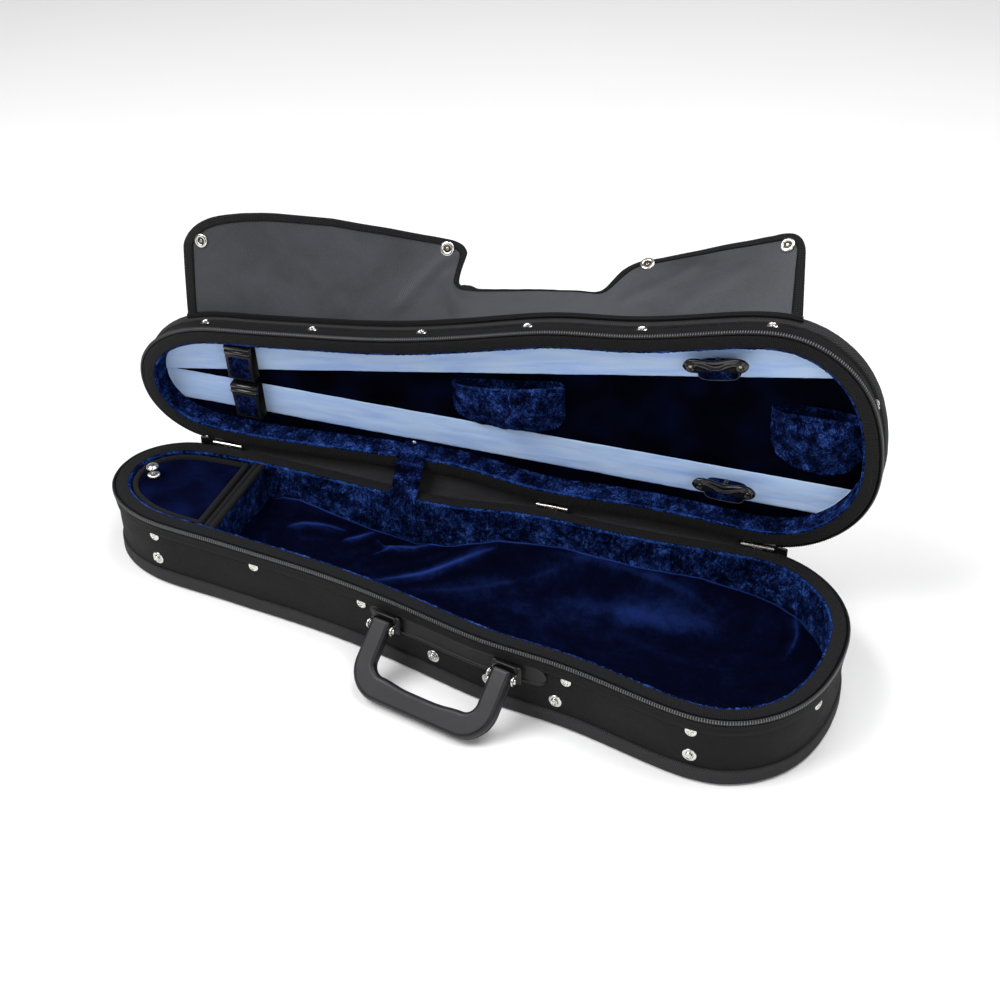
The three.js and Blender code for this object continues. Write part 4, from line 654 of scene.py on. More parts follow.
pad = fan_pad("compartment_floor_velvet", fl, 9.8, 6.4, "base", BOARDV, rings=16, crown=1.6, crush_fn=lambda x, y: np.clip(0.4 + 0.5 * fbm(x / 26, y / 26, 5, 3), 0, 1), slot="navy_plush")
# knob: polished mushroom cap on a fluted foot
kb = Soup()
foot = lambda r, z, th: (np.where(r > 4.2, 0.35 * np.cos(18 * th), 0), 0 * th)
kb.add(*lathe([(0, 0), (6.6, 0), (6.9, .5), (6.9, 2.6), (6.3, 3.4), (4.4, 3.9), (3.0, 4.6), (0, 4.8)], (-360, 58, 77.4), (0, 0, 1), 108, foot))
kb.add(*lathe([(0, 4), (2.8, 4), (2.7, 7.4), (3.4, 8.3), (5.4, 9.0), (6.5, 10.1), (6.9, 11.4), (6.8, 12.6), (6.2, 13.6), (5.2, 14.3), (5.0, 14.25), (4.8, 14.5), (3.0, 15.2), (1.4, 15.5), (0, 15.6)], (-360, 58, 77.4), (0, 0, 1), 64))
kb.obj("compartment_knob_cap", "compartment_lid", NICKEL, rep=["compartment_knob"], slot="nickel")

# ---- handle ------------------------------------------------------------------------------------------------------
def ring_at(s, d=0.0):
    x, y, nx, ny = ring(np.array([float(s)])); return np.array([x[0] + nx[0] * d, y[0] + ny[0] * d]), np.array([nx[0], ny[0]])
mp = rp([(-2.55, 42.6, 1), (-2.55, 65.2, 1), (-1.3, 66.6, 1), (0.1, 65.4, .7), (0.1, 62.9, .5), (-0.85, 62.1, .4), (-0.85, 47.2, .4), (0.1, 46.4, .5), (0.1, 43.6, .7), (-1.3, 42.2, 1)], 0.6, 1.0)
sa, sb = sorted((front_s(135.5), front_s(-62))); S = sa + (sb - sa) * (0.5 - 0.5 * np.cos(np.linspace(0.02, math.pi - 0.02, 190)))
e = np.clip(np.minimum(S - sa, sb - S) / 12.0, 0.004, 1); k = np.sqrt(1 - (1 - e) ** 2)[:, None]
x, y, nx, ny = (a[:, None] for a in ring(S)); D = mp[None, :, 0] * 1.0 + 0 * k; D = -2.3 + (D + 2.3) * np.minimum(1, 0.45 + 0.75 * k); Z = 54.4 + (mp[None, :, 1] - 54.4) * k
grid("handle_mount", np.stack([x + nx * D, y + ny * D, Z], -1), "base", MOUNT, rep=["handle_mount_strip"], slot="moulded_handle")
ha, hb = ring_at(front_s(97))[0], ring_at(front_s(-39))[0]
ht = np.array([*(ha - hb), 0]) / np.linalg.norm(ha - hb); hn = np.array([ht[1], -ht[0], 0])
he = [np.array([*q, 54.0]) + hn * 12.5 for q in (hb, ha)]
hmid, hL = (he[0] + he[1]) / 2, np.linalg.norm(he[0] - he[1]) / 2
droop = math.radians(46)
hdown = hn * math.sin(droop) + np.array([0, 0, -math.cos(droop)]); hfront = np.cross(ht, hdown); hfront /= np.linalg.norm(hfront)
def handle():
    w, ro, ri, vi, vo = 11, 34, 12, 44, 70
    k1, k2, k3 = 22, 22, 60
    def side(L, v0, r, v, out):
        """Half of one edge of the grip, from a leg's top to the middle."""
        a = np.linspace(0, 1, k1); leg = np.stack([np.full(k1, -L), v0 + (v - r - v0) * a], 1)
        t = np.linspace(0, math.pi / 2, k2)[1:]; arc = np.stack([-L + r - r * np.cos(t), v - r + r * np.sin(t)], 1)
        b = np.linspace(0, 1, k3 // 2)[1:]; bar = np.stack([-L + r + (L - r) * b, np.full(len(b), v)], 1)
        h = np.vstack([leg, arc, bar]); m = h[::-1][1:].copy(); m[:, 0] *= -1
        return np.vstack([h, m])
    O, I = side(hL + w, -5.4, ro, vo, 1), side(hL - w, -5.4, ri, vi, 0)
    n = len(O)
    q = np.linspace(-1, 1, n)
    I[:, 1] += 3.2 * np.exp(-(I[:, 0] / 34) ** 4) * (I[:, 1] > vi - 1)  # slight palm swell on the inside of the bar
    M, H = (O + I) / 2, np.linalg.norm(O - I, axis=1) / 2
    A = (O - I) / (2 * H[:, None])
    sec = rp([(-11, 0.6, 1.2), (-10.2, 3.6, 1.0), (-6.9, 6.6, 1.0), (6.4, 7.0, 1.8), (10.6, 4.6, 1.6), (11, 1.5, .4), (9.7, 0.8, .3), (9.7, 0.1, .3), (10.9, -0.6, .4), (10.4, -4.4, 2), (8, -6.9, 1.5), (-8, -6.9, 1.5), (-10.6, -5.2, 1.5), (-11, -1, 1)], 0.8, 1.0)
    ends = np.minimum(np.arange(n), np.arange(n)[::-1])
    P = np.zeros((n + 4, len(sec), 3)); rows = [0, 0] + list(range(n)) + [n - 1, n - 1]
    for r, i in enumerate(rows):
        k = {0: 0.80, 1: 0.95}.get(min(r, n + 3 - r), 1.0)
        a = np.where(sec[:, 0] > 0, sec[:, 0] + (H[i] - 11), sec[:, 0] - (H[i] - 11)) * (1 - (1 - k) * 0.5); b = sec[:, 1] * k
        dv = {0: -1.3, 1: -0.8}.get(min(r, n + 3 - r), 0.0)
        uv = M[i][None, :] + A[i][None, :] * a[:, None]; uv = uv + np.array([0, dv])
        # belly of the front face
        P[r] = hmid + ht * uv[:, :1] + hdown * uv[:, 1:2] + hfront * (b[:, None])
    return P
g = grid("handle_grip_moulding", handle(), "handle", GRIP, rep=["handle_grip"], slot="moulded_handle")
hw = Soup()
zup = np.array([0, 0, 1.0]); hR = np.array([ht, zup, np.cross(ht, zup)]).T
for e, tag in zip(he, ("left", "right")):
    hw.add(*rbox(e + hn * (-9.6), (33, 20, 3.6), 1.5, 3, hR), 0)                       # base block
    hw.add(*rbox(e + hn * (-8.2) + zup * 6.8, (25, 7, 4.4), 1.6, 3, hR), 0)            # hood over the leg
    for sgn in (-1, 1):
        c = e + ht * sgn * 13.4
        V, F = lathe([(0, -1.1), (4.6, -1.1), (5.1, -.7), (5.1, .7), (4.6, 1.1), (0, 1.1)], c, ht * sgn, 40); hw.add(V, F, 1)      # ear
        hw.add(*rbox(c + hn * (-4.6), (2.0, 8.2, 9.4), 0.6, 2, hR), 1)
        hw.add(*lathe([(0, 0), (2.6, 0), (2.8, .7), (2.2, 1.7), (1.2, 2.1), (0, 2.2)], c + ht * sgn * 0.9, ht * sgn, 28), 1)        # pin head
        hw.add(*lathe([(0, -1.6), (3.4, -1.6), (3.4, -.1), (0, -.1)], e + ht * sgn * 13.2, ht * sgn, 28), 1)
    hw.add(*lathe([(0, -13), (1.9, -13), (1.9, 13), (0, 13)], e, ht, 24), 1)
hw.obj("handle_brackets", "base", [BLACKP, NICKEL], rep=["handle_bracket_left", "handle_bracket_right"], slot="nickel")

# ---- studs and rivets --------------------------------------------------------------------------------------------
def cross_mod(r0, r1, deep, nslot=4):
    def f(r, z, th):
        k = 1.0 if r0 < r < r1 else 0.0
        return 0 * th, -deep * k * np.clip(np.cos(nslot * th) * 3 - 1.6, 0, 1)
    return f
STUD = [(0, 0), (6.6, 0), (7.0, .25), (7.0, .7), (6.5, 1.15), (5.4, 1.45), (4.5, 1.3), (4.2, 1.25), (4.0, 1.9), (3.9, 3.1), (3.6, 3.7), (3.1, 3.9), (2.7, 3.7), (2.2, 3.2), (1.2, 3.0), (0, 2.95)]
RIVET = [(0, 0), (5.6, 0), (5.9, .3), (5.8, .8), (5.2, 1.35), (4.4, 1.75), (3.6, 2.0), (3.2, 2.0), (2.9, 1.5), (2.4, 1.4), (1.8, 1.5), (1.2, 1.45), (0, 1.4)]
st, rv = Soup(), Soup()
for k, x in enumerate([-322, -56, 11, 74, 144, 282]):
    p, n2 = ring_at(front_s(x), -2.6)
    a = 0.5 + k * 0.9
    st.add(*lathe(STUD, (*p, 30), (*n2, 0), 64, cross_mod(2.0, 3.95, 0.9, 3), ref=(math.cos(a) * n2[1], -math.cos(a) * n2[0], math.sin(a))))
for k, x in enumerate([-322, -200, -72, 155, 282, 380]):
    s0 = front_s(x) if x < 375 else near_s(385, -54)
    p, n2 = ring_at(s0, -2.3)
    a = 0.9 + k * 1.7
    rv.add(*lathe(RIVET, (*p, 59.2), (*n2, 0), 64, cross_mod(1.1, 3.3, 0.8), ref=(math.cos(a) * n2[1], -math.cos(a) * n2[0], math.sin(a))))
st.obj("snap_studs", "base", NICKEL, rep=[f"snap_stud_{i}" for i in range(1, 7)], slot="nickel")
rv.obj("wall_rivets", "base", NICKEL, slot="nickel")
lr = Soup()
for k, x in enumerate([-319, -193, -71, 42, 157, 281, 379]):
    s0 = front_s(x) if x < 375 else near_s(384, -56)
    p, n2 = ring_at(s0, -2.3)
    a = 0.4 + k * 1.3
    V, F = lathe(RIVET, (*p, 100.2), (*n2, 0), 64, cross_mod(1.1, 3.3, 0.8), ref=(math.cos(a) * n2[1], -math.cos(a) * n2[0], math.sin(a)))
    lr.add(open_lid(V), F)
lr.obj("lid_rivets", "lid", NICKEL, slot="nickel")

# ---- lid ---------------------------------------------------------------------------------------------------------
band("lid_cloth", [(-3.9, 92), (-3.9, 105), (-2.6, 105), (-2.1, 98), (-2.6, 92)], "lid", NYLON, pitch=2.4, step=2.2, lid=True,
     disp=lambda S, D, Z: np.where(D > -3.4, pucker(S, D, Z, 93, 104), 0), rep=["lid_cover"], slot="black_nylon")
band("lid_top_tape", [(-3.2, 103.6, .3), (-3.2, 117.0, .6), (-1.0, 117.4, 1), (0.5, 116.4, 1.4), (1.3, 113), (1.2, 107, 1.5), (0.2, 103.7, .8), (-2, 103.4, .5)], "lid", TWILL, pitch=1.8, step=1.1, lid=True,
     disp=lambda S, D, Z: np.where(D > -2.4, 0.16 * noise3(S / 11, Z / 9, 3) + 0.10 * noise3(S / 3, Z / 4, 4), 0), rep=["lid_top_binding"], slot="binding_tape")
band("lid_back_tape", [(-14.5, 117.02, .15), (-14.5, 117.5, .15), (-2.4, 117.7, .3), (-2.4, 117.02, .15)], "lid", TWILL, pitch=2.4, step=1.2, lid=True, slot="binding_tape")
zip_side("lid", "lid", True)
rim("lid", "lid", True)
band("lid_wall_velvet", [(-12.8, 111.2, .3), (-12.8, UPZ(77.3), .2), (-15.3, UPZ(77.4), .2), (-15.3, UPZ(80.6), .8), (-16.7, UPZ(80.5), .8), (-17.0, UPZ(78), 1), (-17.0, 111.2, .3)], "lid", CRUSH, pitch=1.5, step=1.3, lid=True,
     disp=lining_disp(31, 100, 1.8), rep=["lid_wall_lining"], slot="crushed_velvet")
# the lid's rolled lining edge in the same brighter copy of the velvet, painted sheen
band("lid_lining_roll", [(-15.35, UPZ(77.9), .6), (-15.35, UPZ(80.8), .8), (-17.5, UPZ(80.3), .9), (-17.5, UPZ(77.9), .8)], "lid", bpy.data.materials["velvet_edge"], pitch=1.2, step=0.7, lid=True,
     disp=lambda S, D, Z: (0.3 * noise3(S / 3.2, Z / 3, 18) + 0.3 * noise3(S / 9, Z / 5, 19), crush(S * 1.2, Z * 2, 41)), slot="crushed_velvet")
lo_x, hi_x = INNER[:, 0].min(), INNER[:, 0].max()
xs2 = (lo_x + hi_x) / 2 - (hi_x - lo_x) / 2 * np.cos(np.linspace(0.03, math.pi - 0.03, 260))
yl2, yh2 = cross_y(xs2, INNER)
pp = slab("lid_panel_plush", xs2, yl2, yh2, lambda X, Y, T: 107.3 + 0.5 * fbm(X / 60, Y / 60, 2, 3), lambda X, Y, T: 0 * X + 111, "lid", PANEL, m=90, lid=True,
          crush_fn=lambda X, Y, T: np.clip(0.4 + 0.5 * fbm(X / 50, Y / 50, 9, 3), 0, 1), rep=["lid_panel_pad"], slot="navy_plush")
FIELD = loop(-18.4, 3600)
def ribbon_in_loop(name, c0, U, b0, b1, z, a_min=-1e9, a_max=1e9, skew=0.0, seed=0, nb=26, **kw):
    U = np.array(U); N = np.array([-U[1], U[0]])
    ab = np.stack([(FIELD - c0) @ U, (FIELD - c0) @ N], 1)
    bs = np.linspace(b0, b1, nb); lo, hi = cross_y(bs, ab[:, ::-1])
    lo, hi = np.maximum(lo, a_min), np.minimum(hi, a_max + skew * (bs - b0))
    na = 420; t = np.linspace(0, 1, na)
    A = lo[None, :] + (hi - lo)[None, :] * t[:, None]; B = np.broadcast_to(bs[None, :], A.shape)
    w = (B - (b0 + b1) / 2) / ((b1 - b0) / 2)
    zt = z - 0.9 * (1 - w ** 2) * 0.5 - 0.5 * fbm(A / 48, B / 22, seed, 3) - 0.25 * noise3(A / 9, B / 26, seed + 5) * np.abs(w) ** 2 + 0.12
    X, Y = c0[0] + A * U[0] + B * N[0], c0[1] + A * U[1] + B * N[1]
    top = np.stack([X, Y, zt], -1); bot = np.stack([X[:, ::-1], Y[:, ::-1], zt[:, ::-1] + 0.45], -1)
    o = grid(name, np.concatenate([top, bot], 1), "lid", SATIN, lid=True, **kw)
    return o
ribbon_in_loop("satin_ribbon_back", np.array([0.0, 0.0]), (1, 0), 57.5, 95.5, 106.2, a_max=368.6, skew=-0.72, seed=3, rep=["bow_ribbon_back"], slot="satin_ribbon")
ribbon_in_loop("satin_ribbon_front", np.array([-378.0, 58.0]), (math.cos(-0.1808), math.sin(-0.1808)), -38, 0, 105.2, seed=7, rep=["bow_ribbon_front"], slot="satin_ribbon")

# bow tip holders: black moulding with a two-ridge cap and a velvet face, open towards the body end
def tip(tag, x0, x1, y0, y1, z0, z1, taper, rep):
    bm = bmesh.new(); bmesh.ops.create_cube(bm, size=1)
    for v in bm.verts:
        fy = v.co.y + 0.5
        xx = x0 + (x1 - x0) * (v.co.x + 0.5)
        if v.co.x < 0: xx += taper * fy
        zz = (z0 + 1.6 * (1 - fy) * 0 if v.co.z < 0 else z1)
        v.co = Vector((xx, y0 + (y1 - y0) * fy, zz))
    f = max(bm.faces, key=lambda q: q.calc_center_median().x)
    r = bmesh.ops.inset_region(bm, faces=[f], thickness=2.2)
    top = [q for q in bm.faces if q.calc_center_median().x > x1 - 1e-4 and len(q.verts) == 4]
    f = min(top, key=lambda q: (q.calc_center_median() - Vector((x1, (y0 + y1) / 2, (z0 + z1) / 2))).length)
    ex = bmesh.ops.extrude_discrete_faces(bm, faces=[f])["faces"]
    for v in ex[0].verts: v.co.x -= 19
    bmesh.ops.bevel(bm, geom=[e for e in bm.edges if e.calc_face_angle(0) > 0.5], offset=1.1, segments=3, affect="EDGES", profile=0.5)
    sp = Soup(); sp.add([list(v.co) for v in bm.verts], [[v.index for v in q.verts] for q in bm.faces], 0); bm.free()
    for k, (dy, rr) in enumerate(((2.6, 3.0), (8.2, 3.0))):
        n = 40; xx = np.linspace(x0 + 0.4, x1 - 0.4, n); th = np.linspace(0, 2 * math.pi, 29)[:-1]
        V, F = lathe([(0, 0), (rr * .8, 0), (rr, .7), (rr, x1 - x0 - 1.6), (rr * .8, x1 - x0 - 0.9), (0, x1 - x0 - 0.9)], (x0 + 0.45, y0 + dy, z0 + 2.0 - 0.7 * k), (1, 0, 0), 36)
        sp.add(V, F, 1)
    V, F = rbox(((x0 + x1) / 2, y0 + 5.4, z0 + 1.2), (x1 - x0 - 0.6, 8.4, 2.4), 0.9, 3); sp.add(V, F, 1)
    sp.V = open_lid(np.array(sp.V)).tolist()
    sp.obj(f"tip_holder_{tag}", "lid", [BLACKP, GLOSS], rep=rep, slot="black_gloss_plastic")
    # velvet face, slightly padded
    gx, gy = np.linspace(0, 1, 26), np.linspace(0, 1, 30)
    Xg = x0 + 3 + (x1 - x0 - 6) * gx[:, None] + taper * (0.35 + 0.65 * gy[None, :]) * (1 - gx[:, None]); Yg = y0 + 13 + (y1 - y0 - 15.6) * gy[None, :] + 0 * gx[:, None]
    e = np.minimum(np.minimum(gx, 1 - gx)[:, None], np.minimum(gy, 1 - gy)[None, :])
    zt = z0 + 0.3 - 1.5 * (1 - np.exp(-e * 16)) - 0.25 * noise3(Xg / 5, Yg / 5, 3)
    top = np.stack([Xg, Yg, zt], -1)
    pins = np.zeros(zt.shape); pins[:1] = pins[-1:] = 1; pins[:, :1] = pins[:, -1:] = 1
    top = puff(top, pins, 4.0, 0.03, 1.3); top[..., 2] = np.minimum(top[..., 2], z0 + 0.7)
    P = np.concatenate([top, np.stack([Xg[:, ::-1], Yg[:, ::-1], 0 * zt + z0 + 0.9], -1)], 1)
    o = grid(f"tip_face_{tag}", P, "lid", PADVEL, lid=True, attrs={"crush": np.concatenate([crush(Xg * 1.4, Yg * 1.4, 5), 0 * zt + 0.4], 1)}, slot="padded_velvet")
tip("front", -297.5, -266.5, 2.6, 46, 92, 104.9, 0.0, ["bow_tip_pocket_front", "bow_tip_clip_front"])
tip("back", -298, -266, 53.4, 96.5, 92, 105.8, 2.6, ["bow_tip_pocket_back", "bow_tip_clip_back"])

# spinners
def spin(tag, cx, cy, deg, zpad, body):
    c, s = math.cos(math.radians(deg)), math.sin(math.radians(deg))
    place = lambda V: np.stack([cx + V[..., 0] * c - V[..., 1] * s, cy + V[..., 0] * s + V[..., 1] * c, V[..., 2]], -1)
    n = 120; u = np.linspace(-1, 1, n); xs = 32 * np.sin(u * math.pi / 2 * 0.995)
    e = np.abs(xs) / 32
    h = 4.8 + 2.9 * np.sin(np.minimum(1, e) * math.pi * 0.78) ** 2
    h = np.where(e > 0.74, h * np.sqrt(np.clip(1 - ((e - 0.74) / 0.262) ** 2, 0.01, 1)), h)
    sec = rp([(-1, 93), (-1, 88.6, 1.2), (-0.72, 86.6, 1.2), (0.72, 86.6, 1.2), (1, 88.6, 1.2), (1, 93)], 0.4, 0.16)
    th = np.linspace(0, 2 * math.pi, 73)[:-1]
    a = np.sign(np.cos(th)) * np.abs(np.cos(th)) ** 0.55; b = np.sign(np.sin(th)) * np.abs(np.sin(th)) ** 0.6
    X = np.broadcast_to(xs[:, None], (n, len(th))); Y = h[:, None] * a[None, :]
    Z = 90.2 + 2.7 * b[None, :] * (0.55 + 0.45 * np.clip((1 - e) * 9, 0, 1))[:, None]
    top = (b < 0)[None, :] * 1.0
    ys = (-3.2 + 6.6 * np.exp(-(xs / 12.5) ** 2))[:, None]
    Z = Z - top * (1.1 * np.exp(-((Y - ys) / 1.5) ** 2) * np.exp(-(X / 20.5) ** 6) - 0.9 * np.exp(-((Y - ys + 3.6) / 2.2) ** 2) * np.exp(-(X / 13) ** 4))
    for sx in (-24.2, 24.2):
        rr = np.hypot(X - sx, Y)
        Z = Z + top * (1.3 * np.exp(-(rr / 2.4) ** 4)) - top * 0.8 * np.exp(-((rr - 4.2) / 1.0) ** 2)
    P = place(np.stack([X, Y, Z], -1))
    o = grid(f"spinner_{tag}", P, body, GLOSS, lid=True, rep=[f"bow_spinner_{tag}"], slot="black_gloss_plastic")
    br = Soup()
    for sx in (-24.2, 24.2):
        V, F = lathe([(0, 0), (2.1, 0), (2.1, .7), (1.6, 1.2), (0.9, 1.3), (0, 1.0)], (0, 0, 0), (0, 0, -1), 24)
        br.add(open_lid(place(V + np.array([sx, 0, 89.4]))), F)
    V, F = lathe([(0, 0), (2.6, 0), (2.6, 8), (0, 8)], (0, 0, 0), (0, 0, 1), 20)
    br.add(open_lid(place(V * np.array([1, 1, (zpad - 3.9 - 92.6) / 8]) + np.array([0, 0, 92.6]))), F, 1)
    br.obj(f"spinner_rivets_{tag}", body, [BRASS, GLOSS], slot="black_gloss_plastic")
    # padded tab under the button
    n = 64; t = np.linspace(0, 2 * math.pi, n + 1)[:-1]
    sup = lambda q, p: np.sign(q) * np.abs(q) ** p
    E = np.stack([21 * sup(np.cos(t), .5), 10.4 + 9.2 * sup(np.sin(t), .55)], 1)
    cen = np.array([0, 10.4]); rows = []
    prof = [(1.0, zpad), (1.0, zpad - 4), (1.01, 98), (0.99, 95.2), (0.93, 94.1), (0.86, 93.9), (0.80, 94.2), (0.6, 93.7), (0.4, 93.5), (0.2, 93.4), (0.04, 93.4)]
    P = np.stack([np.column_stack([cen + (E - cen) * k, np.full(n, z) + (0.35 * noise3(E[:, 0] * k / 6, E[:, 1] * k / 6, 3) if z < 97 else 0)]) for k, z in prof], 0)
    o = grid(f"cradle_{tag}", place(P.reshape(-1, 3)).reshape(P.shape), "lid", [PADVEL], lid=True, attrs={"crush": crush(P[..., 0] * 1.5, P[..., 1] * 1.5 + P[..., 2], 7)}, rep=[f"bow_cradle_{tag}"], slot="padded_velvet")
    n2 = 96; t2 = np.linspace(0, 2 * math.pi, n2 + 1)[:-1]
    E2 = np.stack([21 * 0.95 * sup(np.cos(t2), .5), 10.4 + 9.2 * 0.95 * sup(np.sin(t2), .55)], 1)
    nn = E2 - cen; nn /= np.linalg.norm(nn, axis=1)[:, None]; ph = np.linspace(0, 2 * math.pi, 9)[:-1]
    P = np.stack([E2[:, None, 0] + nn[:, None, 0] * 0.55 * np.cos(ph), E2[:, None, 1] + nn[:, None, 1] * 0.55 * np.cos(ph), 94.0 + 0.55 * np.sin(ph)[None, :] + 0 * E2[:, None, 0]], -1)
    grid(f"cradle_piping_{tag}", place(P.reshape(-1, 3)).reshape(P.shape), "lid", bpy.data.materials["piping"], ci=True, lid=True, slot="padded_velvet")
pm = ribs("piping", 0.8, a=(0.05, 0.055, 0.08), b=(0.16, 0.17, 0.22))
spin("front", 232, -77, -10.4, 104.9, "bow_spinner_front"); spin("back", 245, 71.5, 1, 106, "bow_spinner_back")

# pouches: a flat back and a full front panel with a rolled hem, open towards the front of the lid
def pouch(tag, pts, depth, rep, seed):
    e = resample(np.vstack([pts, pts[:1]]), 1.2)
    for _ in range(6): e = 0.5 * e + 0.25 * (np.roll(e, 1, 0) + np.roll(e, -1, 0))
    x0, x1 = e[:, 0].min() + 0.4, e[:, 0].max() - 0.4
    xs = (x0 + x1) / 2 - (x1 - x0) / 2 * np.cos(np.linspace(0.02, math.pi - 0.02, 110)); yl, yh = cross_y(xs, e)
    # simulated: sewn down at its sides and lower edge, loosely held along the hem, cut wider than its place so that it gathers
    m = 60; t = np.linspace(0, 1, m); X = np.broadcast_to(xs[:, None], (len(xs), m)); Y = yl[:, None] + (yh - yl)[:, None] * t[None, :]; T = np.broadcast_to(t, X.shape)
    a = np.abs((X - x0) / (x1 - x0) * 2 - 1)
    z = 106.5 - np.maximum((depth - 2.2) * np.clip(1 - a ** 3.2, 0, 1) ** 0.6 * np.clip(1 - T ** 3.4, 0, 1) ** 0.62 * (0.94 + 0.06 * T), 0.1) - 0.35 * noise3(X / 8, Y / 11, 2, seed)
    n = len(xs); pins = np.zeros((n, m)); pins[:2] = pins[-2:] = 1; pins[:, -2:] = 1; pins[:, 0] = 0.45
    Q = puff(np.stack([X, Y, z], -1), pins, 3.0, 0.07, 5.5)
    c = crush(X * 0.8, Y * 0.8, seed); Q[..., 2] -= 1.0 * (c - 0.5) * (pins < 1) + 0.9 * np.exp(-((T - 0.022) / 0.016) ** 2) - 0.5 * np.exp(-((T - 0.06) / 0.02) ** 2)
    Q[..., 2] = np.clip(Q[..., 2], 106.9 - depth - 3.5, 106.6); R = Q[:, ::-1] + np.array([0, 0, 1.4]); R[..., 2] = np.minimum(R[..., 2], 107.35)
    # painted highlight along the hem of the mouth; the inner face is darkened as painted shade inside the pouch
    o = grid(f"pouch_{tag}_front", np.concatenate([Q, R], 1), "lid", CRUSH, lid=True, attrs={"crush": np.concatenate([np.clip(c + 0.55 * np.exp(-((T - 0.02) / 0.02) ** 2), 0, 1), 0.6 * c[:, ::-1]], 1)}, rep=rep, slot="crushed_velvet")
    # back panel darkened as painted shade inside the pouch
    o = slab(f"pouch_{tag}_back", xs, yl - 1.2, yh, lambda X, Y, T: 106.3 - 0.8 * (crush(X, Y, seed + 3) - 0.4) - 0.7 * np.exp(-(T / 0.03) ** 2), lambda X, Y, T: 107.3 + 0 * X, "lid", CRUSH, m=50, lid=True,
             crush_fn=lambda X, Y, T: 0.75 * crush(X, Y, seed + 3), slot="crushed_velvet")
pouch("middle", np.array([[-44, 6], [-20, 2], [40, -7], [72, -12.6], [77, -8], [77, 30], [70, 44], [50, 52], [16, 56], [-20, 55], [-38, 50], [-45, 40]], float), 16.5, ["lid_pouch_middle"], 51)
pouch("end", np.array([[284, -30], [322, -34], [358, -34], [371, -30], [375, -12], [374, 18], [363, 35], [338, 44], [310, 39], [292, 28], [285, 12]], float), 16.5, ["lid_pouch_end"], 61)

# ---- stay strap, gusset, hinges, sliders ---------------------------------------------------------------------------
def path_sheet(name, path, x0, x1, thick, mat, nx, ns, wave, blend, attrs_fn=None, lens=None, **kw):
    """A band of cloth across X, its path drawn in the YZ plane."""
    P2 = catmull(np.array(path, float), ns * 4, closed=False)
    s = np.concatenate([[0], np.cumsum(np.linalg.norm(np.diff(P2, axis=0), axis=1))]); t = np.linspace(0, s[-1], ns)
    C = np.stack([np.interp(t, s, P2[:, k]) for k in (0, 1)], 1); T = np.gradient(C, axis=0); T /= np.linalg.norm(T, axis=1)[:, None]; N = np.stack([-T[:, 1], T[:, 0]], 1)
    X = np.linspace(x0, x1, nx)[None, :] + 0 * t[:, None]; S = t[:, None] + 0 * X
    w = wave(S, X, s[-1])
    mk = lambda off: np.stack([X, C[:, None, 0] + N[:, None, 0] * (w + off), C[:, None, 1] + N[:, None, 1] * (w + off)], -1)
    A, B = mk(thick / 2), mk(-thick / 2)[:, ::-1]
    at = None
    if attrs_fn: cr = attrs_fn(S, X, s[-1]); at = {"crush": np.concatenate([cr, cr[:, ::-1]], 1)}
    o = grid(name, np.concatenate([A, B], 1), "base", mat, attrs=at, ride=False, **kw)
    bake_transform(o)
    return o, s[-1]
def strap_wave(S, X, L):
    u = S / L
    mid = np.exp(-((u - 0.30) / 0.17) ** 2)
    return mid * 1.3 * np.sin(u * 2 * math.pi * 8.2 + 0.25 * np.sin(X / 9)) + 0.5 * (crush(X, S, 71) - 0.5) + 0.2 * noise3(X / 9, S / 9, 4)
# colour attribute: crushed pile with painted highlight and shade on the ripples of the fold
strap, sl = path_sheet("stay_strap_velvet", [[154, 116.9], [148, 116.2], [142, 115.4], [133, 114.7], [127, 111.8], [117, 98.2], [107.6, 87.4], [101.9, 84.0], [100.0, 78], [99.4, 66], [99.4, 52], [99.6, 36]], -103, -73, 1.5, CRUSH, 34, 150, strap_wave,
                       ("base", "lid", (0, 0.101, 0.084), (0, 0.135, 0.115)), attrs_fn=lambda S, X, L: np.clip(crush(X * 1.1, S, 71) * 0.7 + 0.25 * np.sin(S / L * 2 * math.pi * 8.2) * np.exp(-((S / L - 0.30) / 0.2) ** 2) + 0.12, 0, 1),
                       rep=["lid_stay_strap"], slot="crushed_velvet")
sr = Soup(); p = open_lid(np.array([[-92.0, 98.6, 98.0]]))[0]
V, F = lathe([(0, 0), (2.6, 0), (2.7, .5), (2.0, 1.1), (0, 1.4)], (0, 0, 0), (0, -1, 0), 24)
q = np.array([-92.0, 148.2, 118.9]); sr.add(V + q, F); sr.obj("strap_rivet", "lid", NICKEL, slot="nickel")
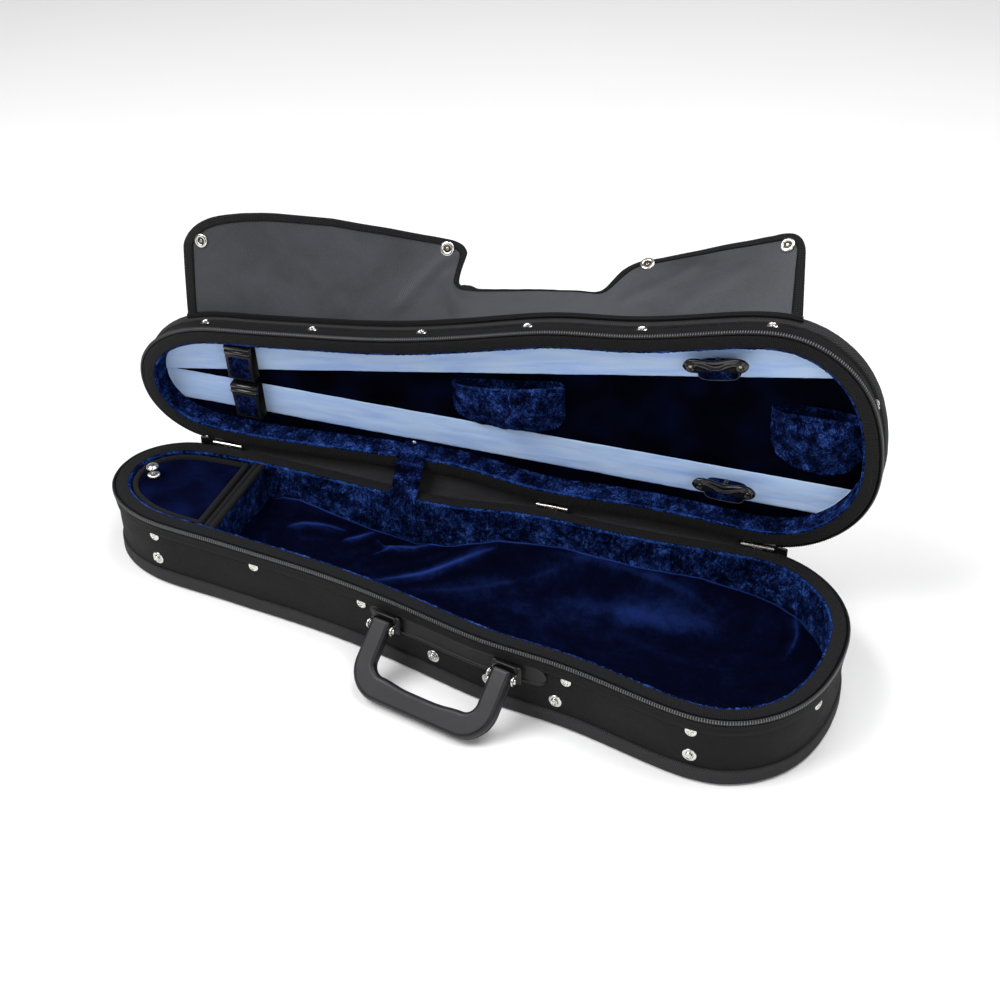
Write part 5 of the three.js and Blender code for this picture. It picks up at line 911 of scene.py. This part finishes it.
def gusset():
    n = 336; xs = np.linspace(-336.5, 308, n); rows_i, rows_o = [], []
    for x in xs:
        b, n2 = ring_at(back_s(x)); y = b[1] + 2.4
        l = open_lid(np.array([[x, y, UPZ(75)], [x, y, UPZ(60)]]))
        p0, p1, p3, p4 = np.array([y, 56.0]), np.array([y, 75.0]), l[0][1:], l[1][1:]
        m = (p1 + p3) / 2
        ten = 1.0 + 1.6 * (0.5 + 0.5 * float(fbm(x / 60, 0.3, 2, 3)))
        m = m + np.array([ten, -ten])
        path = np.array([p0, (p0 + p1) / 2, p1, (p1 + m) / 2 + np.array([.5, -.5]), m, (p3 + m) / 2 + np.array([.5, -.5]), p3, (p3 + p4) / 2, p4])
        c = catmull(path, 34, closed=False)
        rows_i.append(c)
    C = np.array(rows_i)                                     # n, 34, 2
    T = np.gradient(C, axis=1); T /= np.linalg.norm(T, axis=2)[..., None] + 1e-9; N = np.stack([-T[..., 1], T[..., 0]], -1)
    X = xs[:, None] + 0 * C[..., 0]; k = np.linspace(0, 1, 34)[None, :]
    mid = np.clip(np.sin(np.clip((k - 0.2) / 0.6, 0, 1) * math.pi), 0, 1)
    w = mid * (0.8 * fbm(X / 34, k * 3, 4, 3) + 0.35 * noise3(X / 8, k * 4, 6))
    # N points inwards or outwards depending on the path's direction; the cloth's other face is 0.8 mm further out
    A = np.stack([X, C[..., 0] + N[..., 0] * w, C[..., 1] + N[..., 1] * w], -1)
    B = np.stack([X, C[..., 0] + N[..., 0] * (w - 0.8), C[..., 1] + N[..., 1] * (w - 0.8)], -1)[:, ::-1]
    o = grid("back_gusset_cloth", np.concatenate([A, B], 1), "base", GUSSET, ride=False, rep=["back_gusset"], slot="black_nylon")
    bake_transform(o)
gusset()
for k in (1, 2, 3):
    for part in ("base", "lid"):
        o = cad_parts[f"hinge_{k}_{part}"]
        o.data.materials.clear(); o.data.materials.append(NICKEL)
for nm in ("base_shell", "lid_shell"):
    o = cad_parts[nm]; o.data.materials.clear(); o.data.materials.append(NYLON_XY)
for tag, (px, py), dr in (("neck", (-334.5, 126.3), -1), ("body", (309.0, 126.9), 1)):
    s0 = near_s(px, py); b, n2 = ring_at(s0); t = np.array([n2[1], -n2[0], 0]); nn = np.array([*n2, 0])
    R = np.array([t, nn, [0, 0, 1]]).T; o0 = np.array([*b, 0.0]); sp = Soup()
    sp.add(*rbox(o0 + nn * 3.4 + [0, 0, 81.4], (10.5, 2.6, 12.4), 1.2, 3, R))
    sp.add(*rbox(o0 + nn * 5.2 + [0, 0, 78.4], (5.2, 1.8, 2.6), 0.7, 3, R))
    a = np.linspace(0, 2 * math.pi, 41)[:-1]; ph = np.linspace(0, 2 * math.pi, 9)[:-1]
    # pull tab hanging from the slider
    cpt = np.stack([3.0 * np.cos(a), -7 + 8.0 * np.sin(a)], 1); tn = np.stack([np.cos(a) / 3, np.sin(a) / 8], 1); tn /= np.linalg.norm(tn, axis=1)[:, None]
    V = []; F = []
    for i in range(40):
        for j in range(8): V.append(o0 + t * (cpt[i, 0] + tn[i, 0] * 0.9 * math.cos(ph[j])) + np.array([0, 0, 75.8 + cpt[i, 1] + tn[i, 1] * 0.9 * math.cos(ph[j])]) + nn * (4.6 + 0.9 * math.sin(ph[j])))
    for i in range(40):
        for j in range(8): F.append([i * 8 + j, ((i + 1) % 40) * 8 + j, ((i + 1) % 40) * 8 + (j + 1) % 8, i * 8 + (j + 1) % 8])
    V = np.array(V); c = V.mean(0)
    if sum(np.dot(np.cross(V[f[0]] - c, V[f[1]] - c), V[f[2]] - c) for f in F) < 0: F = [f[::-1] for f in F]
    sp.add(V, F)
    sp.obj(f"slider_{tag}", "base", DARKMETAL, rep=[f"zip_slider_{tag}"], slot="dark_metal")

# ---- rain flap -----------------------------------------------------------------------------------------------------
LEAN = [[-342, 12], [-300, 13], [-200, 18], [-56, 28], [30, 45], [120, 68], [150, 70], [210, 64], [282, 56], [304, 54]]
HIGH = [[-342, 80], [-340, 84.5], [-336, 90.5], [-330, 96], [-322, 101], [-312, 105], [-300, 107.8], [-278, 110.3], [-255, 111.2], [-240, 111], [-180, 107], [-120, 98], [-70, 88], [-56, 84.5], [-49, 80], [-45, 74], [-42.5, 66], [-40, 57], [-37, 47], [-34, 38], [-30, 34.5], [-20, 32.5], [20, 30], [80, 28.5], [100, 29.5], [106, 32], [110, 38], [114, 48], [118, 57], [123, 65.5], [128, 72], [134, 76.5], [144, 79.5], [160, 81.5], [220, 85], [276, 87], [286, 87], [293, 85.8], [298, 83.5], [302, 79], [304, 73]]
LN = np.array(LEAN, float); HG = np.array(HIGH, float)
gx = np.arange(-400, 361.0); lean_s = np.interp(gx, LN[:, 0], LN[:, 1])
ker = np.hanning(61); ker /= ker.sum(); lean_s = np.convolve(np.pad(lean_s, 30, mode="edge"), ker, "valid")
sy = ring(front_s(gx)); seam_y = sy[1] + sy[3] * 1.9; seam_y = np.convolve(np.pad(seam_y, 15, mode="edge"), np.hanning(31) / np.hanning(31).sum(), "valid")
def flap_point(x, h):
    x, h = np.broadcast_arrays(np.asarray(x, float), np.asarray(h, float))
    y = np.interp(x, gx, seam_y); s = open_lid(np.stack([x, y, np.full(x.shape, 108.5)], -1))
    a = np.radians(np.interp(x, gx, lean_s))
    fl = np.where(x < -300, (-5 * (h / 100) * (-300 - x)) / 42, 0) + np.where(x > 262, (2.5 - 14.5 * (h / 85)) * (x - 262) / 42, 0)
    fl = fl + np.exp(-((x + 44) / 18) ** 2) * (-6 * np.clip(h / 40, 0, 1) + 15 * np.clip((h - 40) / 32, 0, 1))
    return np.stack([s[..., 0] + fl, s[..., 1] + np.sin(a) * h, s[..., 2] + np.cos(a) * h], -1)
def flap_wave(x, h):
    k = np.clip(h / 60, 0, 1.3)
    w = k * (1.5 * fbm(x / 95, h / 110, 3, 2) + 0.5 * noise3(x / 32, h / 45, 8))
    # creases that run down from the notch corners to the seam
    for (ax, ah, bx, bh, wd, dp) in ((-50, 76, -110, 8, 7, 1.6), (-58, 60, -30, 6, 6, 1.5), (-240, 80, -150, 6, 9, 1.2), (-320, 70, -250, 20, 9, 1.0), (128, 72, 60, 8, 8, 1.8), (200, 70, 120, 16, 8, 1.3), (250, 60, 180, 10, 9, 0.9)):
        dx, dy = bx - ax, bh - ah; l = math.hypot(dx, dy); u = ((x - ax) * dx + (h - ah) * dy) / l; v = (-(x - ax) * dy + (h - ah) * dx) / l
        sm = np.clip(u / 14, 0, 1) * np.clip((l - u) / 20, 0, 1)
        w = w + sm * dp * np.exp(-(v / wd) ** 2)
    return w * np.clip(h / 12, 0, 1)
def flap_at(x, h, off):
    e = 1.5
    p = flap_point(x, h); a, b = flap_point(x + e, h), flap_point(x - e, h); c, d = flap_point(x, np.asarray(h) + e), flap_point(x, np.asarray(h) - e)
    n = np.cross(a - b, c - d); n /= np.linalg.norm(n, axis=-1)[..., None]
    return p + n * (np.asarray(off) + flap_wave(x, h))[..., None]
xsF = np.unique(np.concatenate([np.linspace(-342, -50, 150), np.linspace(-50, -26, 34), np.linspace(-26, 108, 70), np.linspace(108, 138, 38), np.linspace(138, 304, 84)]))
hF = np.interp(xsF, HG[:, 0], HG[:, 1])
rows = np.linspace(0, 1, 46); H = hF[:, None] * rows[None, :] - 0.0; X = xsF[:, None] + 0 * H
A = flap_at(X, H, 1.8 + 0 * H); B = flap_at(X, H, 0.6 + 0 * H)[:, ::-1]
P = np.concatenate([A, B], 1)
flap = grid("rain_flap_cloth", P, "rain_flap", [LININGGREY, NYLON], ride=False, mi=lambda i, j: (j >= 45).astype(int), rep=["rain_flap"], slot="flap_lining")
b0 = np.array([-342, 144.0, 234.8]); b1 = np.array([304, 132.9, 350.7]); chord = (b1 - b0) / np.linalg.norm(b1 - b0)
upd = np.array([0, math.sin(math.radians(40)), math.cos(math.radians(40))]); upd = upd - chord * (upd @ chord); upd /= np.linalg.norm(upd)
bs, be = (b0 + upd * 2) / 1000, (b0 + upd * 26) / 1000
tuple(bs)
tuple(be)
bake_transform(flap)
fa = float((np.diff(xsF) * (hF[1:] + hF[:-1]) / 2).sum()) * 1e-6 * 1.03
# edge binding
def edge_path():
    pts = [(-342.0, h) for h in np.linspace(4, 79, 50)] + [(x, np.interp(x, HG[:, 0], HG[:, 1])) for x in xsF] + [(304.0, h) for h in np.linspace(72, 4, 40)]
    p = np.array(pts); s = np.concatenate([[0], np.cumsum(np.linalg.norm(np.diff(p, axis=0), axis=1))]); t = np.arange(0, s[-1], 1.6)
    q = np.stack([np.interp(t, s, p[:, k]) for k in (0, 1)], 1)
    for _ in range(5): q[1:-1] = 0.5 * q[1:-1] + 0.25 * (q[2:] + q[:-2])
    return q
ep = edge_path()
et = np.gradient(ep, axis=0); et /= np.linalg.norm(et, axis=1)[:, None]
for _ in range(6): et[1:-1] = 0.5 * et[1:-1] + 0.25 * (et[2:] + et[:-2])
et /= np.linalg.norm(et, axis=1)[:, None]; en = np.stack([et[:, 1], -et[:, 0]], 1)   # to the inside
bp_ = rp([(7.2, 1.9, .2), (7.0, 2.7, .5), (1.0, 2.9, 1.2), (-0.9, 1.4, 1.2), (0.6, -0.2, 1.0), (6.6, -0.3, .4), (6.8, 0.5, .2)], 0.4, 0.9)
# the binding is widest on the two ends; at the fold of the tongue the lining runs over the edge and only its rim shows
bw = np.interp(ep[:, 0], [-342, -337, -322, -250, -90, -52, -40, -33, -26, 98, 108, 118, 140, 270, 296, 300, 304], [11.2, 11.2, 9.6, 8.2, 6.6, 6.2, 5.2, 3.4, 1.2, 1.2, 3.8, 5.6, 6.2, 7.2, 9.0, 10, 10]) / 7.2
ker3 = np.hanning(9); ker3 /= ker3.sum(); bw = np.convolve(np.pad(bw, 4, mode="edge"), ker3, "valid")[:, None]
Q = ep[:, None, :] + en[:, None, :] * (np.where(bp_[None, :, 0] > 0, bp_[None, :, 0] * bw, bp_[None, :, 0] * np.clip(bw, 0.5, 1)))[..., None]
Q[..., 0] = np.clip(Q[..., 0], -343.2, 305.2)
P = flap_at(Q[..., 0], np.maximum(Q[..., 1], 0.5), np.broadcast_to(bp_[None, :, 1], Q.shape[:2]))
SEAMDARK = nylon("seam_shadow", a=(0.0008, 0.0008, 0.001), b=(0.004, 0.004, 0.0045), pitch=1.2)
eb = grid("rain_flap_edge", P, "rain_flap", [RIBS, SEAMDARK], ride=False, mi=lambda i, j: (bp_[j, 0] > 6.2).astype(int), slot="binding_tape")
tuple(bs)
tuple(be)
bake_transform(eb)
# seam roll where the flap meets the lid
sx = np.linspace(-343, 305, 320); tr = rp([(-1.2, 0.0, .4), (-1.2, 2.6, .6), (3.2, 2.8, .8), (4.2, 1.6, .5), (4.2, 0.4, .3)], 0.4, 0.8)
P = flap_at(np.broadcast_to(sx[:, None], (len(sx), len(tr))), np.maximum(np.broadcast_to(tr[None, :, 0] + 1.0, (len(sx), len(tr))), 0.0), np.broadcast_to(tr[None, :, 1], (len(sx), len(tr))))
sm = grid("rain_flap_seam", P, "lid", TAPE, slot="binding_tape")
# tongue folded down behind, its black edge showing over the fold
xt = np.linspace(-33, 111, 96); tt = np.linspace(0, 1, 40)
def tongue_at(x, r, off):
    hcur = np.interp(x, HG[:, 0], HG[:, 1])
    a = np.radians(np.interp(x, gx, lean_s)); b = 2.6 + 7 * r + off
    roll = 3.1 * np.exp(-(r / 0.05) ** 2)
    p = flap_point(x, np.minimum(hcur, 33) + 0.6 - 24 * r)
    return np.stack([p[..., 0], p[..., 1] + np.cos(a) * b, p[..., 2] - np.sin(a) * b], -1) + 0.7 * noise3(x / 26, r * 2, 3)[..., None] * np.array([0, 0.5, 0.5])
Xt = xt[:, None] + 0 * tt[None, :]; Rt = tt[None, :] + 0 * Xt
A = tongue_at(Xt, Rt, -0.6); B = tongue_at(Xt, Rt, 0.7)[:, ::-1]
tg = grid("rain_flap_tongue_cloth", np.concatenate([A, B], 1), "rain_flap", [NYLON], rep=["rain_flap_tongue"], slot="black_nylon")
tb = rp([(0, -0.2, .5), (0.9, 0.2, .5), (1.2, 1.0, .5), (0.9, 3.2, .7), (0, 3.6, .7), (-1.2, 3.2, .7), (-1.4, 0.8, .6)], 0.5, 0.5)
xt2 = np.linspace(-36, 114, 140); hc = np.minimum(np.interp(xt2, HG[:, 0], HG[:, 1]), 35.5) + 0.4
base_p = flap_point(xt2, hc); a = np.radians(np.interp(xt2, gx, lean_s))
uu = np.stack([0 * a, np.sin(a), np.cos(a)], -1); vv = np.stack([0 * a, np.cos(a), -np.sin(a)], -1)
lump = 1 + 2.2 * np.exp(-((xt2 + 27) / 6) ** 2) + 2.0 * np.exp(-((xt2 - 104) / 6) ** 2) + 0.15 * noise3(xt2 / 8, 0.5, 1)
P = base_p[:, None, :] + uu[:, None, :] * (tb[None, :, :1] * lump[:, None, None]) + vv[:, None, :] * (tb[None, :, 1:2] * lump[:, None, None])
grid("rain_flap_fold", P, "rain_flap", RIBS, slot="binding_tape")
area = lambda o: sum(p.area for p in o.data.polygons) / 2
min(area(flap), 0.111 * 0.65)
SOCK = [(0, 0), (7.0, 0), (7.4, .4), (7.3, 1.0), (6.6, 1.5), (5.8, 1.75), (5.0, 1.8), (4.2, 1.6), (3.7, 1.0), (3.5, 0.3), (3.2, 0.25), (2.8, 0.6), (2.2, 0.5), (1.2, 0.3), (0, 0.25)]
sk = Soup()
for x, h in ((-322, 81.5), (-60, 76.5), (141, 73), (282, 75)):
    p = flap_at(np.array([x * 1.0]), np.array([h * 1.0]), np.array([1.9]))[0]; q1 = flap_at(np.array([x * 1.0]), np.array([h * 1.0]), np.array([4.0]))[0]; n3 = (q1 - p) / np.linalg.norm(q1 - p)
    sk.add(*lathe(SOCK, p, n3, 56))
    sk.add(*lathe([(0, 0), (3.5, 0), (3.6, .15), (3.6, .4), (2.9, .55), (0, .5)], p + n3 * 0.2, n3, 40), 1)     # painted shade: a dark disc in the well of the socket
    sk.add(*lathe([(0, 0), (1.5, 0), (1.7, .2), (1.6, .5), (1.0, .6), (0, .35)], p + n3 * 0.5, n3, 28), 2)      # eyelet at its bottom
    sk.add(*lathe([(0, 0), (6.4, 0), (6.6, .5), (5.6, 1.3), (3, 1.9), (0, 2.1)], p - n3 * 1.3, -n3, 40))
sk.obj("snap_sockets", "rain_flap", [NICKEL, DARKMETAL, BRASS], rep=[f"snap_socket_{i}" for i in range(1, 5)], slot="nickel")
sk = Soup()
for x in (11, 74):  # sockets on the folded tongue, facing back
    V = tongue_at(np.array([x * 1.0]), np.array([0.55]), np.array([1.0]))[0]; V2 = tongue_at(np.array([x * 1.0]), np.array([0.55]), np.array([3.0]))[0]; n3 = (V2 - V) / np.linalg.norm(V2 - V)
    sk.add(*lathe(SOCK, V, n3, 48))
sk.obj("tongue_sockets", "rain_flap", NICKEL, slot="nickel")

# ---- floor, light --------------------------------------------------------------------------------------------------
def plain(name, col, rough=0.9):
    m = Mat(name, Roughness=rough); v = m.obj(1.0); n = m.noise(v, 3.0, 3)
    m.set("Base Color", m.ramp(n, [(0.3, col), (0.7, tuple(0.985 * q for q in col))])); return m.m
me = bpy.data.meshes.new("floor"); me.from_pydata([(-6, -6, -0.0006), (6, -6, -0.0006), (6, 6, -0.0006), (-6, 6, -0.0006)], [], [[0, 1, 2, 3]]); me.materials.append(plain("floor_pale", (0.95, 0.95, 0.95)))
floor = bpy.data.objects.new("floor", me); bpy.context.scene.collection.objects.link(floor)
world = bpy.data.worlds.new("studio"); bpy.context.scene.world = world; world.use_nodes = True
world.node_tree.nodes["Background"].inputs[0].default_value = (1, 1, 1, 1); world.node_tree.nodes["Background"].inputs[1].default_value = 0.20
def area(name, loc, target, size, power, size_y=None):
    d = bpy.data.lights.new(name, "AREA"); d.shape = "RECTANGLE"; d.size = size; d.size_y = size_y or size; d.energy = power
    o = bpy.data.objects.new(name, d); bpy.context.scene.collection.objects.link(o)
    o.location = loc; o.rotation_mode = "QUATERNION"; o.rotation_quaternion = (Vector(target) - Vector(loc)).to_track_quat("-Z", "Y")
area("key", (-1.3, -0.9, 2.3), (0, 0, 0.1), 1.7, 66)
area("top", (0.9, 0.5, 2.6), (0, 0, 0.1), 2.0, 56)
area("fill", (1.6, -2.2, 1.6), (0, 0, 0.15), 1.6, 22)

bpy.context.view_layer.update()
